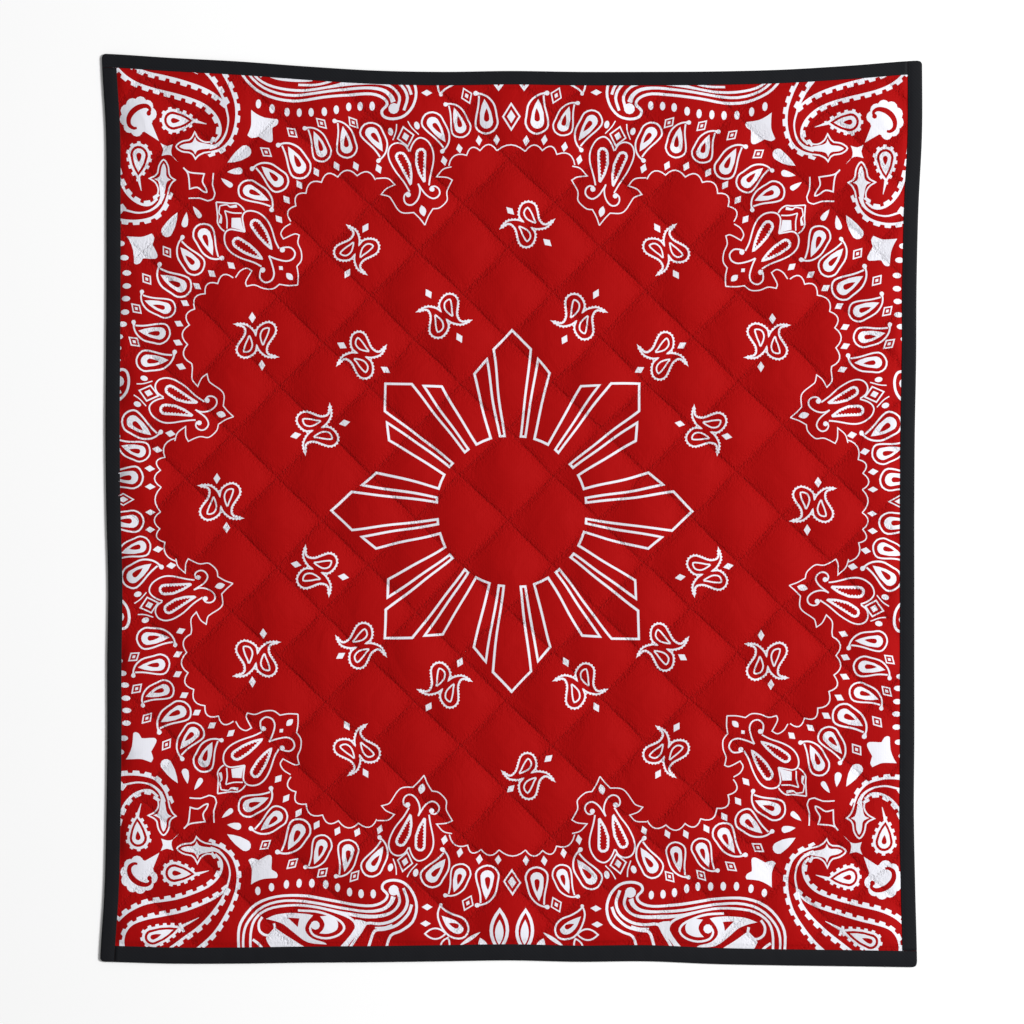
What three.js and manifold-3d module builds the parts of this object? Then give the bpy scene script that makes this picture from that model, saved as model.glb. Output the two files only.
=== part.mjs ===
// A double-bed quilt with a printed face, filled and sewn through in diamonds, bound with four
// folded strips, and lying flat with its printed face up. Millimetres: +X runs to the right of
// the printed face, +Y to its top edge and +Z up from the surface that the quilt lies on.

import * as THREE from 'three';
import Module from 'manifold-3d';

const wasm = await Module();
wasm.setup();

// Whole quilt, from corner to corner
const quiltWidth = 1800;
const quiltLength = 2000;
const cornerRadius = 10;

// Levels above the surface that the quilt lies on
const seamUnderside = 1.2;
const seamTop = 4.9;
const crownHeight = 6.6;
const crownUnevenness = 0.09;

// Share of a diamond at which its top and its underside change slope, counted from one seam
const crownFractions = [0, 0.13, 0.5, 0.87, 1];
const padInset = 0.09;

// Filling drawn down towards the binding
const edgeTop = 6.1;
const drawnInWidth = 26;
const drawnInTop = 11.8;

// Binding: a strip folded over the panel's edge, with the edge lying loose in the fold
const bindingThickness = 6;
const stripThickness = 1.2;
const foldWall = 1.5;
const foldBevel = { inset: 1.6, rise: 1.4 };
const clearance = 0.3;
const overcut = 5;

// Angles of the sewn lines from the horizontal edge
const fallingAngle = THREE.MathUtils.degToRad(44.25);
const risingAngle = THREE.MathUtils.degToRad(44.75);

// Where each sewn line runs: its distance from the middle of the quilt, square to the line.
// Falling lines run down to the right and are counted to the upper right, and rising lines
// run up to the right and are counted to the lower right.
const seamRows = [
  { falling: -1450, rising: -1386 },
  { falling: -1307, rising: -1245 },
  { falling: -1165, rising: -1105 },
  { falling: -1022, rising: -977 },
  { falling: -877, rising: -838 },
  { falling: -731, rising: -694 },
  { falling: -589, rising: -552 },
  { falling: -450, rising: -414 },
  { falling: -307, rising: -274 },
  { falling: -160, rising: -134 },
  { falling: -23, rising: 12 },
  { falling: 121, rising: 150 },
  { falling: 266, rising: 289 },
  { falling: 408, rising: 431 },
  { falling: 552, rising: 573 },
  { falling: 690, rising: 713 },
  { falling: 830, rising: 862 },
  { falling: 971, rising: 999 },
  { falling: 1113, rising: 1139 },
  { falling: 1255, rising: 1280 },
  { falling: 1397, rising: 1420 },
];

// How far each edge stands outside the plain rectangle, or inside it where the number is
// negative: the sewing draws the edges in between the corners. Top and bottom are read from
// left to right, and left and right from top to bottom, at equal steps.
const edgeRows = [
  { top: 6, bottom: -7, left: 1, right: 5 },
  { top: -3, bottom: -3, left: -8, right: 5 },
  { top: -11, bottom: -3, left: -9, right: -3 },
  { top: -22, bottom: -5, left: -9, right: -7 },
  { top: -31, bottom: -6, left: -8, right: -8 },
  { top: -34, bottom: -8, left: -7, right: -11 },
  { top: -32, bottom: -10, left: -9, right: -12 },
  { top: -34, bottom: -7, left: -13, right: -12 },
  { top: -34, bottom: -8, left: -11, right: -12 },
  { top: -33, bottom: -2, left: -11, right: -12 },
  { top: -29, bottom: 1, left: -9, right: -13 },
  { top: -20, bottom: 3, left: -5, right: -10 },
  { top: -9, bottom: 5, left: 5, right: -6 },
];
const stationsPerEdge = 24;

// The binding strips in the order in which they lie: each is closed over one corner and its
// other end meets the next strip's inner edge.
const stripRows = [
  { side: 'top', width: 30, closedOver: 'left', meets: 'right' },
  { side: 'left', width: 32, closedOver: 'bottom', meets: 'top' },
  { side: 'bottom', width: 36, closedOver: 'right', meets: 'left' },
  { side: 'right', width: 32, closedOver: 'top', meets: 'bottom' },
];

// The edges in their order anticlockwise round the quilt: the axis that each lies across, the
// one that it runs along, the way it faces and its two neighbours
const sides = {
  bottom: { across: 'y', along: 'x', facing: -1, before: 'left', after: 'right' },
  right: { across: 'x', along: 'y', facing: 1, before: 'bottom', after: 'top' },
  top: { across: 'y', along: 'x', facing: 1, before: 'right', after: 'left' },
  left: { across: 'x', along: 'y', facing: -1, before: 'top', after: 'bottom' },
};
const halfSize = { x: quiltWidth / 2, y: quiltLength / 2 };
const readFrom = { x: 1, y: -1 };

// Colours and finishes
const printedCotton = new THREE.MeshStandardMaterial({
  color: 0xa21214,
  roughness: 0.85,
  metalness: 0,
});
const blackCotton = new THREE.MeshStandardMaterial({
  color: 0x232327,
  roughness: 0.8,
  metalness: 0,
});

// Each edge's offsets at equal stations, on a smooth curve through the table's rows
const edgeOffsets = {};
for (const side of Object.keys(sides)) {
  const curve = new THREE.SplineCurve(edgeRows.map((row) => new THREE.Vector2(0, row[side])));
  edgeOffsets[side] = curve.getPoints(stationsPerEdge).map((point) => point.y);
}

// A point on an edge, or a given inset inside it, at a place along that edge
function edgePoint(side, along, inset) {
  const { across, along: axis, facing } = sides[side];
  const share = 0.5 + (readFrom[axis] * along) / (2 * halfSize[axis]);
  const station = THREE.MathUtils.clamp(share, 0, 1) * stationsPerEdge;
  const before = Math.min(Math.floor(station), stationsPerEdge - 1);
  const offsets = edgeOffsets[side];
  const offset = THREE.MathUtils.lerp(offsets[before], offsets[before + 1], station - before);
  const point = new THREE.Vector2();
  point[axis] = along;
  point[across] = facing * (halfSize[across] + offset - inset);
  return point;
}

// The place where two edges cross, each moved inwards by its own inset
function cornerPoint(side, inset, neighbour, neighbourInset) {
  let point = new THREE.Vector2();
  point[sides[side].along] = sides[neighbour].facing * halfSize[sides[side].along];
  for (let pass = 0; pass < 6; pass += 1) {
    point = edgePoint(side, point[sides[side].along], inset);
    point = edgePoint(neighbour, point[sides[neighbour].along], neighbourInset);
  }
  return point;
}

// The stations that lie between two places along an edge, in the order from first to last
function stationsBetween(side, first, last) {
  const half = halfSize[sides[side].along];
  const places = [];
  for (let station = 1; station < stationsPerEdge; station += 1) {
    const along = half * (2 * station / stationsPerEdge - 1);
    if (along > Math.min(first, last) && along < Math.max(first, last)) {
      places.push(along);
    }
  }
  return first < last ? places : places.reverse();
}

// The whole outline moved inwards, anticlockwise from the bottom left corner
function outline(insets) {
  const loop = [];
  for (const side of Object.keys(sides)) {
    const { along, before, after } = sides[side];
    const first = cornerPoint(side, insets[side], before, insets[before]);
    const last = cornerPoint(side, insets[side], after, insets[after]);
    loop.push(first);
    for (const place of stationsBetween(side, first[along], last[along])) {
      loop.push(edgePoint(side, place, insets[side]));
    }
  }
  return loop;
}

// A closed solid from shared corners and triangles, turned so that its faces point out
function solid(corners, triangles) {
  const vertProperties = new Float32Array(corners.flatMap((corner) => corner.toArray()));
  const make = (faces) => new wasm.Manifold(
    new wasm.Mesh({ numProp: 3, vertProperties, triVerts: new Uint32Array(faces.flat()) }),
  );
  const body = make(triangles);
  return body.volume() > 0 ? body : make(triangles.map(([a, b, c]) => [a, c, b]));
}

function quad(a, b, c, d) {
  return [[a, b, c], [a, c, d]];
}

// A solid through equal loops of corners, with flat ends in the shape of the contour
function loft(loops, contour) {
  const count = contour.length;
  const triangles = [];
  for (let first = 0; first < (loops.length - 1) * count; first += count) {
    for (let i = 0; i < count; i += 1) {
      const next = (i + 1) % count;
      triangles.push(...quad(first + i, first + next, first + count + next, first + count + i));
    }
  }
  const clockwise = THREE.ShapeUtils.isClockWise(contour);
  const lastLoop = (loops.length - 1) * count;
  for (const [a, b, c] of THREE.ShapeUtils.triangulateShape(contour, [])) {
    const ear = [contour[a], contour[b], contour[c]];
    const [p, q] = THREE.ShapeUtils.isClockWise(ear) === clockwise ? [b, c] : [c, b];
    triangles.push([a, q, p], [lastLoop + a, lastLoop + p, lastLoop + q]);
  }
  return solid(loops.flat(), triangles);
}

// A solid of one outline after another, each with its own insets and level
function outlineSolid(levels) {
  const loops = levels.map(({ insets, z }) => outline(insets));
  const corners = loops.map((loop, i) => loop.map(({ x, y }) => new THREE.Vector3(x, y, levels[i].z)));
  return loft(corners, loops[0]);
}

function evenInsets(inset) {
  return { top: inset, bottom: inset, left: inset, right: inset };
}

// What is cut away outside a rounded corner of the outline at an inset
function cornerWaste(side, neighbour, inset) {
  const corner = cornerPoint(side, inset, neighbour, inset);
  const inward = new THREE.Vector2();
  inward[sides[side].across] = -sides[side].facing;
  inward[sides[neighbour].across] = -sides[neighbour].facing;
  const radius = cornerRadius - inset;
  const arc = new THREE.EllipseCurve(radius, radius, radius, radius, Math.PI, Math.PI * 1.5);
  const outside = [
    new THREE.Vector2(radius, -overcut),
    new THREE.Vector2(-overcut, -overcut),
    new THREE.Vector2(-overcut, radius),
  ];
  const contour = [...arc.getPoints(4), ...outside];
  const place = (z) => contour.map(
    ({ x, y }) => new THREE.Vector3(corner.x + inward.x * x, corner.y + inward.y * y, z),
  );
  return loft([place(-overcut), place(bindingThickness + overcut)], contour);
}

// The crossing of a falling and a rising sewn line, each at its distance from the middle
function seamCrossing(falling, rising) {
  const scale = 1 / Math.sin(fallingAngle + risingAngle);
  return new THREE.Vector2(
    scale * (Math.cos(risingAngle) * falling + Math.cos(fallingAngle) * rising),
    scale * (Math.sin(risingAngle) * falling - Math.sin(fallingAngle) * rising),
  );
}

const diamondCount = seamRows.length - 1;

// A point in the diamond between two falling and two rising lines, at a share of each step
function diamondPoint(row, column, shareDown, shareAcross, z) {
  const next = { row: Math.min(row + 1, diamondCount), column: Math.min(column + 1, diamondCount) };
  const falling = THREE.MathUtils.lerp(seamRows[row].falling, seamRows[next.row].falling, shareDown);
  const rising = THREE.MathUtils.lerp(
    seamRows[column].rising,
    seamRows[next.column].rising,
    shareAcross,
  );
  const { x, y } = seamCrossing(falling, rising);
  return new THREE.Vector3(x, y, z);
}

// The rise of the filled cloth between two seams, from 0 on a seam to 1 midway
function crownProfile(share) {
  return Math.sqrt(1 - (2 * share - 1) ** 2);
}

// Everything below the crowned top of the diamonds
function crownBlock() {
  const steps = crownFractions.length - 1;
  const size = diamondCount * steps + 1;
  const top = [];
  const base = [];
  for (let i = 0; i < size; i += 1) {
    for (let j = 0; j < size; j += 1) {
      const row = Math.floor(i / steps);
      const column = Math.floor(j / steps);
      const down = crownFractions[i % steps];
      const across = crownFractions[j % steps];
      const uneven = 1 + crownUnevenness * Math.sin(3.1 * row + 1.7 * column);
      const rise = crownHeight * uneven * crownProfile(down) * crownProfile(across);
      top.push(diamondPoint(row, column, down, across, seamTop + rise));
      base.push(diamondPoint(row, column, down, across, -overcut));
    }
  }
  const triangles = [];
  for (let i = 0; i < size - 1; i += 1) {
    for (let j = 0; j < size - 1; j += 1) {
      const [a, d] = [i * size + j, i * size + j + 1];
      const [b, c] = [a + size, d + size];
      const leansForward = (i % steps < steps / 2) === (j % steps < steps / 2);
      const upper = leansForward ? quad(a, b, c, d) : quad(b, c, d, a);
      triangles.push(...upper);
      triangles.push(...upper.map((face) => face.map((corner) => corner + top.length).reverse()));
    }
  }
  triangles.push(...wallTriangles(size, top.length));
  return solid([...top, ...base], triangles);
}

// The four upright walls between an upper square grid and a lower one that follows it
function wallTriangles(size, lower) {
  const last = size - 1;
  const triangles = [];
  for (let k = 0; k < last; k += 1) {
    const pairs = [
      [k * size + size, k * size],
      [k, k + 1],
      [k * size + last, (k + 1) * size + last],
      [last * size + k + 1, last * size + k],
    ];
    for (const [p, q] of pairs) {
      triangles.push(...quad(p, q, lower + q, lower + p));
    }
  }
  return triangles;
}

// Everything above the underside: a flat pad under each diamond, with a furrow along each seam
function undersideBlock() {
  const size = seamRows.length;
  const high = [];
  const low = [];
  const pads = [];
  for (let row = 0; row < size; row += 1) {
    for (let column = 0; column < size; column += 1) {
      high.push(diamondPoint(row, column, 0, 0, drawnInTop + overcut));
      low.push(diamondPoint(row, column, 0, 0, seamUnderside));
    }
  }
  const triangles = wallTriangles(size, high.length);
  for (let row = 0; row < diamondCount; row += 1) {
    for (let column = 0; column < diamondCount; column += 1) {
      const [a, d] = [row * size + column, row * size + column + 1];
      const [b, c] = [a + size, d + size];
      const pad = high.length + low.length + pads.length;
      for (const [down, across] of [[0, 0], [1, 0], [1, 1], [0, 1]]) {
        const shares = [down, across].map((end) => (end ? 1 - padInset : padInset));
        pads.push(diamondPoint(row, column, ...shares, 0));
      }
      triangles.push(...quad(a, b, c, d));
      triangles.push(...quad(pad + 3, pad + 2, pad + 1, pad));
      const rim = [a, b, c, d].map((corner) => corner + high.length);
      for (let k = 0; k < 4; k += 1) {
        const next = (k + 1) % 4;
        triangles.push(...quad(rim[next], rim[k], pad + k, pad + next));
      }
    }
  }
  return solid([...high, ...low, ...pads], triangles);
}

// The filled and quilted cloth: printed face, filling and backing sewn through as one body,
// with a thin edge all round that goes into the fold of the binding
function quiltedPanel() {
  const fieldInsets = {};
  const drawnInsets = {};
  for (const { side, width } of stripRows) {
    fieldInsets[side] = width + clearance;
    drawnInsets[side] = width + clearance + drawnInWidth;
  }
  const field = outlineSolid([
    { insets: fieldInsets, z: -overcut },
    { insets: fieldInsets, z: edgeTop },
    { insets: drawnInsets, z: drawnInTop },
    { insets: drawnInsets, z: drawnInTop + overcut / 2 },
  ]);
  const edgeInset = foldWall + clearance;
  let edge = outlineSolid([
    { insets: evenInsets(edgeInset), z: stripThickness + clearance },
    { insets: evenInsets(edgeInset), z: bindingThickness - stripThickness - clearance },
  ]);
  for (const side of Object.keys(sides)) {
    edge = edge.subtract(cornerWaste(side, sides[side].after, edgeInset));
  }
  return crownBlock().intersect(undersideBlock()).intersect(field).add(edge);
}

// One strip of the binding, folded over an edge of the panel and turned in over one corner
function bindingStrip({ side, width, closedOver, meets }) {
  const meetsWidth = stripRows.find((row) => row.side === meets).width;
  const topBevel = bindingThickness - foldBevel.rise;
  const section = [
    new THREE.Vector2(foldBevel.inset, 0),
    new THREE.Vector2(width, 0),
    new THREE.Vector2(width, bindingThickness),
    new THREE.Vector2(foldBevel.inset, bindingThickness),
    new THREE.Vector2(0, topBevel),
    new THREE.Vector2(0, foldBevel.rise),
  ];
  const inside = [
    new THREE.Vector2(foldWall, stripThickness),
    new THREE.Vector2(width + overcut, stripThickness),
    new THREE.Vector2(width + overcut, bindingThickness - stripThickness),
    new THREE.Vector2(foldWall, bindingThickness - stripThickness),
  ];
  const run = (contour, closedInset, openInset) => {
    const atEnd = (neighbour, inset) => contour.map((point) => {
      const { x, y } = cornerPoint(side, point.x, neighbour, inset);
      return new THREE.Vector3(x, y, point.y);
    });
    const start = atEnd(closedOver, closedInset);
    const end = atEnd(meets, openInset);
    const axis = sides[side].along;
    const isClear = (along) => [start, end].every((loop) => Math.abs(along - loop[0][axis]) > overcut);
    const sections = stationsBetween(side, start[0][axis], end[0][axis])
      .filter(isClear)
      .map((along) => contour.map((point) => {
        const { x, y } = edgePoint(side, along, point.x);
        return new THREE.Vector3(x, y, point.y);
      }));
    return loft([start, ...sections, end], contour);
  };
  const folded = run(section, 0, meetsWidth + clearance).subtract(cornerWaste(side, closedOver, 0));
  const hollow = run(inside, foldWall, meetsWidth - overcut)
    .subtract(cornerWaste(side, closedOver, foldWall));
  return folded.subtract(hollow);
}

function namedMesh(name, body, material) {
  const { vertProperties, triVerts } = body.getMesh();
  const geometry = new THREE.BufferGeometry();
  geometry.setAttribute('position', new THREE.BufferAttribute(vertProperties, 3));
  geometry.setIndex(new THREE.BufferAttribute(triVerts, 1));
  geometry.computeVertexNormals();
  const mesh = new THREE.Mesh(geometry, material);
  mesh.name = name;
  return mesh;
}

const quilt = new THREE.Group();
quilt.add(namedMesh('quilted_panel', quiltedPanel(), printedCotton));
for (const row of stripRows) {
  quilt.add(namedMesh(`binding_${row.side}`, bindingStrip(row), blackCotton));
}

// The uneven outline is centred on the origin by its outermost points
const middle = new THREE.Box3().setFromObject(quilt).getCenter(new THREE.Vector3());
quilt.position.set(-middle.x, -middle.y, 0);

export default quilt;
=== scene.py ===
import cmath
import math

import bpy
import numpy as np
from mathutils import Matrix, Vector
from mathutils.geometry import delaunay_2d_cdt


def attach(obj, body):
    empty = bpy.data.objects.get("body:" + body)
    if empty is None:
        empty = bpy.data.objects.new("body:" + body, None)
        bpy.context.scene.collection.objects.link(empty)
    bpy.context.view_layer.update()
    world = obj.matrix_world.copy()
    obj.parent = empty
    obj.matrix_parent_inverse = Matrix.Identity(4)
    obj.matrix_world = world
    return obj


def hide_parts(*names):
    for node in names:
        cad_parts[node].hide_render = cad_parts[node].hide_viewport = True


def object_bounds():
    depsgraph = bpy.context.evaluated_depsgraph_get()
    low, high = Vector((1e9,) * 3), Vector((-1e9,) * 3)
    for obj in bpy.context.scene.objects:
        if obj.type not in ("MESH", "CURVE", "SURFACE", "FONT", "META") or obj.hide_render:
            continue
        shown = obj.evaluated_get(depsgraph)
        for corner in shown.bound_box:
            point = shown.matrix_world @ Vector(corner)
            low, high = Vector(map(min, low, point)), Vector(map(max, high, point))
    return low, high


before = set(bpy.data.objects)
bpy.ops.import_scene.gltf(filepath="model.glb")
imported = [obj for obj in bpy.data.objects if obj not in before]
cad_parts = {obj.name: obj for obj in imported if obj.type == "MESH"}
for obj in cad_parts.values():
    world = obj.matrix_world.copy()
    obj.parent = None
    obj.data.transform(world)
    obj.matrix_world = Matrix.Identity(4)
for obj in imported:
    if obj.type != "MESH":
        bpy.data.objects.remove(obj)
cadBox = [list(corner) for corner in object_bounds()]
print("frame loaded:", ", ".join(sorted(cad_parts)))

# Places on the quilt are complex numbers in millimetres, with x to the right of the printed
# face and y to its top edge. Meshes are turned to metres as they are made.
toMetres = 0.001


# The lie of the quilt

quilt = {
    "width": 1800.0,            # from corner to corner
    "length": 2000.0,
    "cornerRadius": 10.0,
    "fallingAngle": 44.25,      # of the sewn lines that run down to the right, in degrees
    "risingAngle": 44.75,       # of those that run up to the right
    "fallingLines": [-1450, -1307, -1165, -1022, -877, -731, -589, -450, -307, -160, -23,
                     121, 266, 408, 552, 690, 830, 971, 1113, 1255, 1397],
    "risingLines": [-1386, -1245, -1105, -977, -838, -694, -552, -414, -274, -134, 12,
                    150, 289, 431, 573, 713, 862, 999, 1139, 1280, 1420],
}

# Each edge's step outside the plain rectangle, at equal places from left to right or from
# top to bottom, and the width of the binding along it
edges = {
    "top": {"half": 1000.0, "facing": 1, "alongX": True, "band": 30.0,
            "steps": [6, -3, -11, -22, -31, -34, -32, -34, -34, -33, -29, -20, -9]},
    "left": {"half": 900.0, "facing": -1, "alongX": False, "band": 32.0,
             "steps": [1, -8, -9, -9, -8, -7, -9, -13, -11, -11, -9, -5, 5]},
    "bottom": {"half": 1000.0, "facing": -1, "alongX": True, "band": 36.0,
               "steps": [-7, -3, -3, -5, -6, -8, -10, -7, -8, -2, 1, 3, 5]},
    "right": {"half": 900.0, "facing": 1, "alongX": False, "band": 32.0,
              "steps": [5, 5, -3, -7, -8, -11, -12, -12, -12, -12, -13, -10, -6]},
}


def halfAlong(side):
    return quilt["width"] / 2 if edges[side]["alongX"] else quilt["length"] / 2


# How far an edge stands out at places along it, on a smooth curve through its steps
def edgeStep(side, along):
    steps = np.array(edges[side]["steps"], float)
    way = 1 if edges[side]["alongX"] else -1
    share = np.clip(0.5 + way * np.asarray(along) / (2 * halfAlong(side)), 0, 1)
    place = share * (len(steps) - 1)
    i = np.minimum(place.astype(int), len(steps) - 2)
    t = place - i
    before, start = steps[np.maximum(i - 1, 0)], steps[i]
    end, after = steps[i + 1], steps[np.minimum(i + 2, len(steps) - 1)]
    leaving, arriving = (end - before) / 2, (after - start) / 2
    return ((2 * start - 2 * end + leaving + arriving) * t**3
            + (-3 * start + 3 * end - 2 * leaving - arriving) * t**2 + leaving * t + start)


def edgePoint(side, along, inset):
    across = edges[side]["facing"] * (edges[side]["half"] + edgeStep(side, along) - inset)
    return along + 1j * across if edges[side]["alongX"] else across + 1j * along


# How far inside an edge a place lies
def insetFrom(side, place):
    alongX = edges[side]["alongX"]
    along, across = (place.real, place.imag) if alongX else (place.imag, place.real)
    return edges[side]["half"] + edgeStep(side, along) - edges[side]["facing"] * across


# How far along an edge, at an inset, the neighbouring edge is met at its own inset
def cornerAlong(side, inset, neighbour, neighbourInset):
    along = np.zeros_like(np.asarray(inset, float)) + edges[neighbour]["facing"] * halfAlong(side)
    for _ in range(6):
        near = edgePoint(side, along, inset)
        cross = near.imag if edges[side]["alongX"] else near.real
        far = edgePoint(neighbour, cross, neighbourInset)
        along = far.real if edges[side]["alongX"] else far.imag
    return along


# The closed line a given depth inside the binding, or inside the quilt's edge, anticlockwise
def insideLine(depth, pitch, fromBinding=True):
    inset = {side: depth + (edges[side]["band"] if fromBinding else 0) for side in edges}
    line = []
    for side, before, after in (("bottom", "left", "right"), ("right", "bottom", "top"),
                                ("top", "right", "left"), ("left", "top", "bottom")):
        first = float(cornerAlong(side, inset[side], before, inset[before]))
        last = float(cornerAlong(side, inset[side], after, inset[after]))
        count = max(2, round(abs(last - first) / pitch))
        along = first + (last - first) * np.arange(count) / count
        line.append(edgePoint(side, along, inset[side]))
    return np.concatenate(line)


def depthInField(place):
    return np.min([insetFrom(side, place) - edges[side]["band"] for side in edges], axis=0)


outer = insideLine(0, 10, fromBinding=False)
middle = complex(outer.real.min() + outer.real.max(), outer.imag.min() + outer.imag.max()) / 2
cadMiddle = complex(cadBox[0][0] + cadBox[1][0], cadBox[0][1] + cadBox[1][1]) / 2 / toMetres
shift = cadMiddle - middle      # from the outline's own centre to the frame's


# Relief of the filled cloth

relief = {
    "seamTop": 4.5,             # face of the cloth on a sewn line
    "crown": 13.0,              # rise of the filling between the lines
    "crownUneven": 0.12,        # from one diamond to the next
    "roundness": 0.92,          # of the crown: 1 is a plain arch, and lower is flatter on top
    "fallingGroove": 1.6,       # extra depth of the falling lines, sewn last and pulled most
    "risingGroove": 0.9,
    "grooveWidth": 1.9,         # over which the groove fades, on each side of its line
    "gathered": 10.0,           # how far from a sewn line the cloth is gathered
    "edgeTop": 4.4,             # face of the cloth where it goes under the binding
    "drawnIn": 13.0,            # how far from the binding the filling is held down
    "drawnUnder": 5.0,          # and the same on the underside
    "edgeUnder": 1.6,           # underside of the cloth in the binding
    "furrow": 0.6,              # depth of a sewn line in the underside
    "padInset": 0.09,           # share of a diamond at which its flat pad begins
    "lump": 0.5,                # slow unevenness of the filling
    "tuck": 0.7,                # depth of the fold that runs along the top and bottom binding
    "tuckAt": 6.5,              # how far from the binding it lies
    "tuckWidth": 1.6,
    "wander": 2.0,              # how far the sewn lines stray from straight
    "heldStill": 60.0,          # how far from the binding they begin to
}

# Soft short puckers: the two ends, the width and the depth of each
puckers = [
    {"start": -150 + 95j, "end": 60 + 150j, "width": 9, "depth": 1.1},
    {"start": -60 - 60j, "end": 40 - 110j, "width": 8, "depth": 0.9},
    {"start": 300 - 120j, "end": 420 - 60j, "width": 9, "depth": 1.2},
    {"start": 520 + 60j, "end": 610 - 10j, "width": 9, "depth": 1.0},
    {"start": 430 - 380j, "end": 560 - 330j, "width": 10, "depth": 1.3},
    {"start": 180 - 520j, "end": 270 - 600j, "width": 9, "depth": 1.0},
    {"start": -420 - 560j, "end": -310 - 610j, "width": 10, "depth": 1.1},
    {"start": -560 - 300j, "end": -470 - 240j, "width": 9, "depth": 0.9},
    {"start": 380 + 420j, "end": 470 + 350j, "width": 9, "depth": 1.0},
    {"start": -330 + 380j, "end": -250 + 450j, "width": 9, "depth": 0.8},
    {"start": 620 - 640j, "end": 700 - 560j, "width": 10, "depth": 1.1},
    {"start": 60 - 780j, "end": 170 - 740j, "width": 9, "depth": 1.0},
]

fallingTurn = math.radians(quilt["fallingAngle"])
risingTurn = math.radians(quilt["risingAngle"])
fallingLines = np.array(quilt["fallingLines"], float)
risingLines = np.array(quilt["risingLines"], float)


def seamCrossing(falling, rising):
    scale = 1 / math.sin(fallingTurn + risingTurn)
    x = scale * (math.cos(risingTurn) * falling + math.cos(fallingTurn) * rising)
    y = scale * (math.sin(risingTurn) * falling - math.sin(fallingTurn) * rising)
    return x + 1j * y


# The diamond that a place lies in, and its share of the way across it each way
def inDiamond(place):
    falling = place.real * math.sin(fallingTurn) + place.imag * math.cos(fallingTurn)
    rising = place.real * math.sin(risingTurn) - place.imag * math.cos(risingTurn)
    found = []
    for value, lines in ((falling, fallingLines), (rising, risingLines)):
        i = np.clip(np.searchsorted(lines, value) - 1, 0, len(lines) - 2)
        found += [i, np.clip((value - lines[i]) / (lines[i + 1] - lines[i]), 0, 1)]
    return found


# Distances in millimetres from the nearest falling and the nearest rising line
def fromSeams(place):
    row, down, column, across = inDiamond(place)
    toFalling = np.minimum(down, 1 - down) * (fallingLines[row + 1] - fallingLines[row])
    toRising = np.minimum(across, 1 - across) * (risingLines[column + 1] - risingLines[column])
    return toFalling, toRising


# 0 where the cloth is held by the binding, and nearly 1 where the filling is free
def free(place, reach):
    return 1 - np.exp(-np.maximum(depthInField(place) - 0.3, 0) / relief[reach])


# Each wave is its size, length in millimetres, turn and start
def slowWaves(place, waves):
    return sum(size * np.sin(2 * math.pi * (place * np.conj(cmath.rect(1, turn))).real / length + start)
               for size, length, turn, start in waves)


lumpWaves = [(0.45, 83, 0.4, 0.0), (0.35, 61, 1.9, 1.3), (0.3, 47, 2.7, 4.0), (0.25, 119, 1.2, 2.2)]
wanderAcross = [(0.6, 310, 0.3, 0.5), (0.4, 170, 1.7, 2.0), (0.3, 96, 2.6, 0.9)]
wanderUp = [(0.6, 270, 1.1, 1.4), (0.4, 190, 2.9, 0.2), (0.3, 104, 0.7, 3.1)]


def faceHeight(place):
    row, down, column, across = inDiamond(place)
    uneven = 1 + relief["crownUneven"] * np.sin(3.1 * row + 1.7 * column)
    profile = (16 * down * (1 - down) * across * (1 - across)) ** relief["roundness"]
    rise = (relief["crown"] * uneven + relief["lump"] * slowWaves(place, lumpWaves)) * profile
    toFalling, toRising = fromSeams(place)
    rise = rise - relief["fallingGroove"] * np.exp(-toFalling / relief["grooveWidth"])
    rise = rise - relief["risingGroove"] * np.exp(-toRising / relief["grooveWidth"])
    for pucker in puckers:
        run = pucker["end"] - pucker["start"]
        local = (place - pucker["start"]) / run
        fade = np.clip(4 * local.real * (1 - local.real), 0, 1)
        off = local.imag * abs(run) / pucker["width"]
        rise = rise - pucker["depth"] * fade * np.exp(-off**2) * np.sqrt(profile)
    height = relief["edgeTop"] + (relief["seamTop"] + rise - relief["edgeTop"]) * free(place, "drawnIn")
    for side in ("top", "bottom"):
        off = insetFrom(side, place) - edges[side]["band"] - relief["tuckAt"]
        height = height - relief["tuck"] * np.exp(-(off / relief["tuckWidth"]) ** 2)
    return height


def underHeight(place):
    row, down, column, across = inDiamond(place)
    nearest = np.minimum(np.minimum(down, 1 - down), np.minimum(across, 1 - across))
    furrow = relief["furrow"] * np.clip(1 - nearest / relief["padInset"], 0, 1) ** 1.5
    return relief["edgeUnder"] + (furrow - relief["edgeUnder"]) * free(place, "drawnUnder")


# Small wandering of the cloth in its own plane, none at the binding
def wandered(place):
    hold = np.clip(depthInField(place) / relief["heldStill"], 0, 1)
    stray = slowWaves(place, wanderAcross) + 1j * slowWaves(place, wanderUp)
    return place + hold * relief["wander"] * stray


# Colours and materials

def linear(hexColour):
    parts = [int(hexColour[i:i + 2], 16) / 255 for i in (1, 3, 5)]
    return [c / 12.92 if c <= 0.04045 else ((c + 0.055) / 1.055) ** 2.4 for c in parts] + [1.0]


def newMaterial(name):
    material = bpy.data.materials.new(name)
    material.use_nodes = True
    tree = material.node_tree
    return material, tree, tree.nodes["Principled BSDF"]


def setShader(shader, values):
    for name, value in values.items():
        shader.inputs[name].default_value = value


# Adds a node with its settings, and joins its inputs to values or to other nodes' outputs
def addNode(tree, kind, settings=None, inputs=None):
    node = tree.nodes.new(kind)
    for name, value in (settings or {}).items():
        setattr(node, name, value)
    for name, value in (inputs or {}).items():
        if isinstance(value, bpy.types.NodeSocket):
            tree.links.new(value, node.inputs[name])
        else:
            node.inputs[name].default_value = value
    return node


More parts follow.
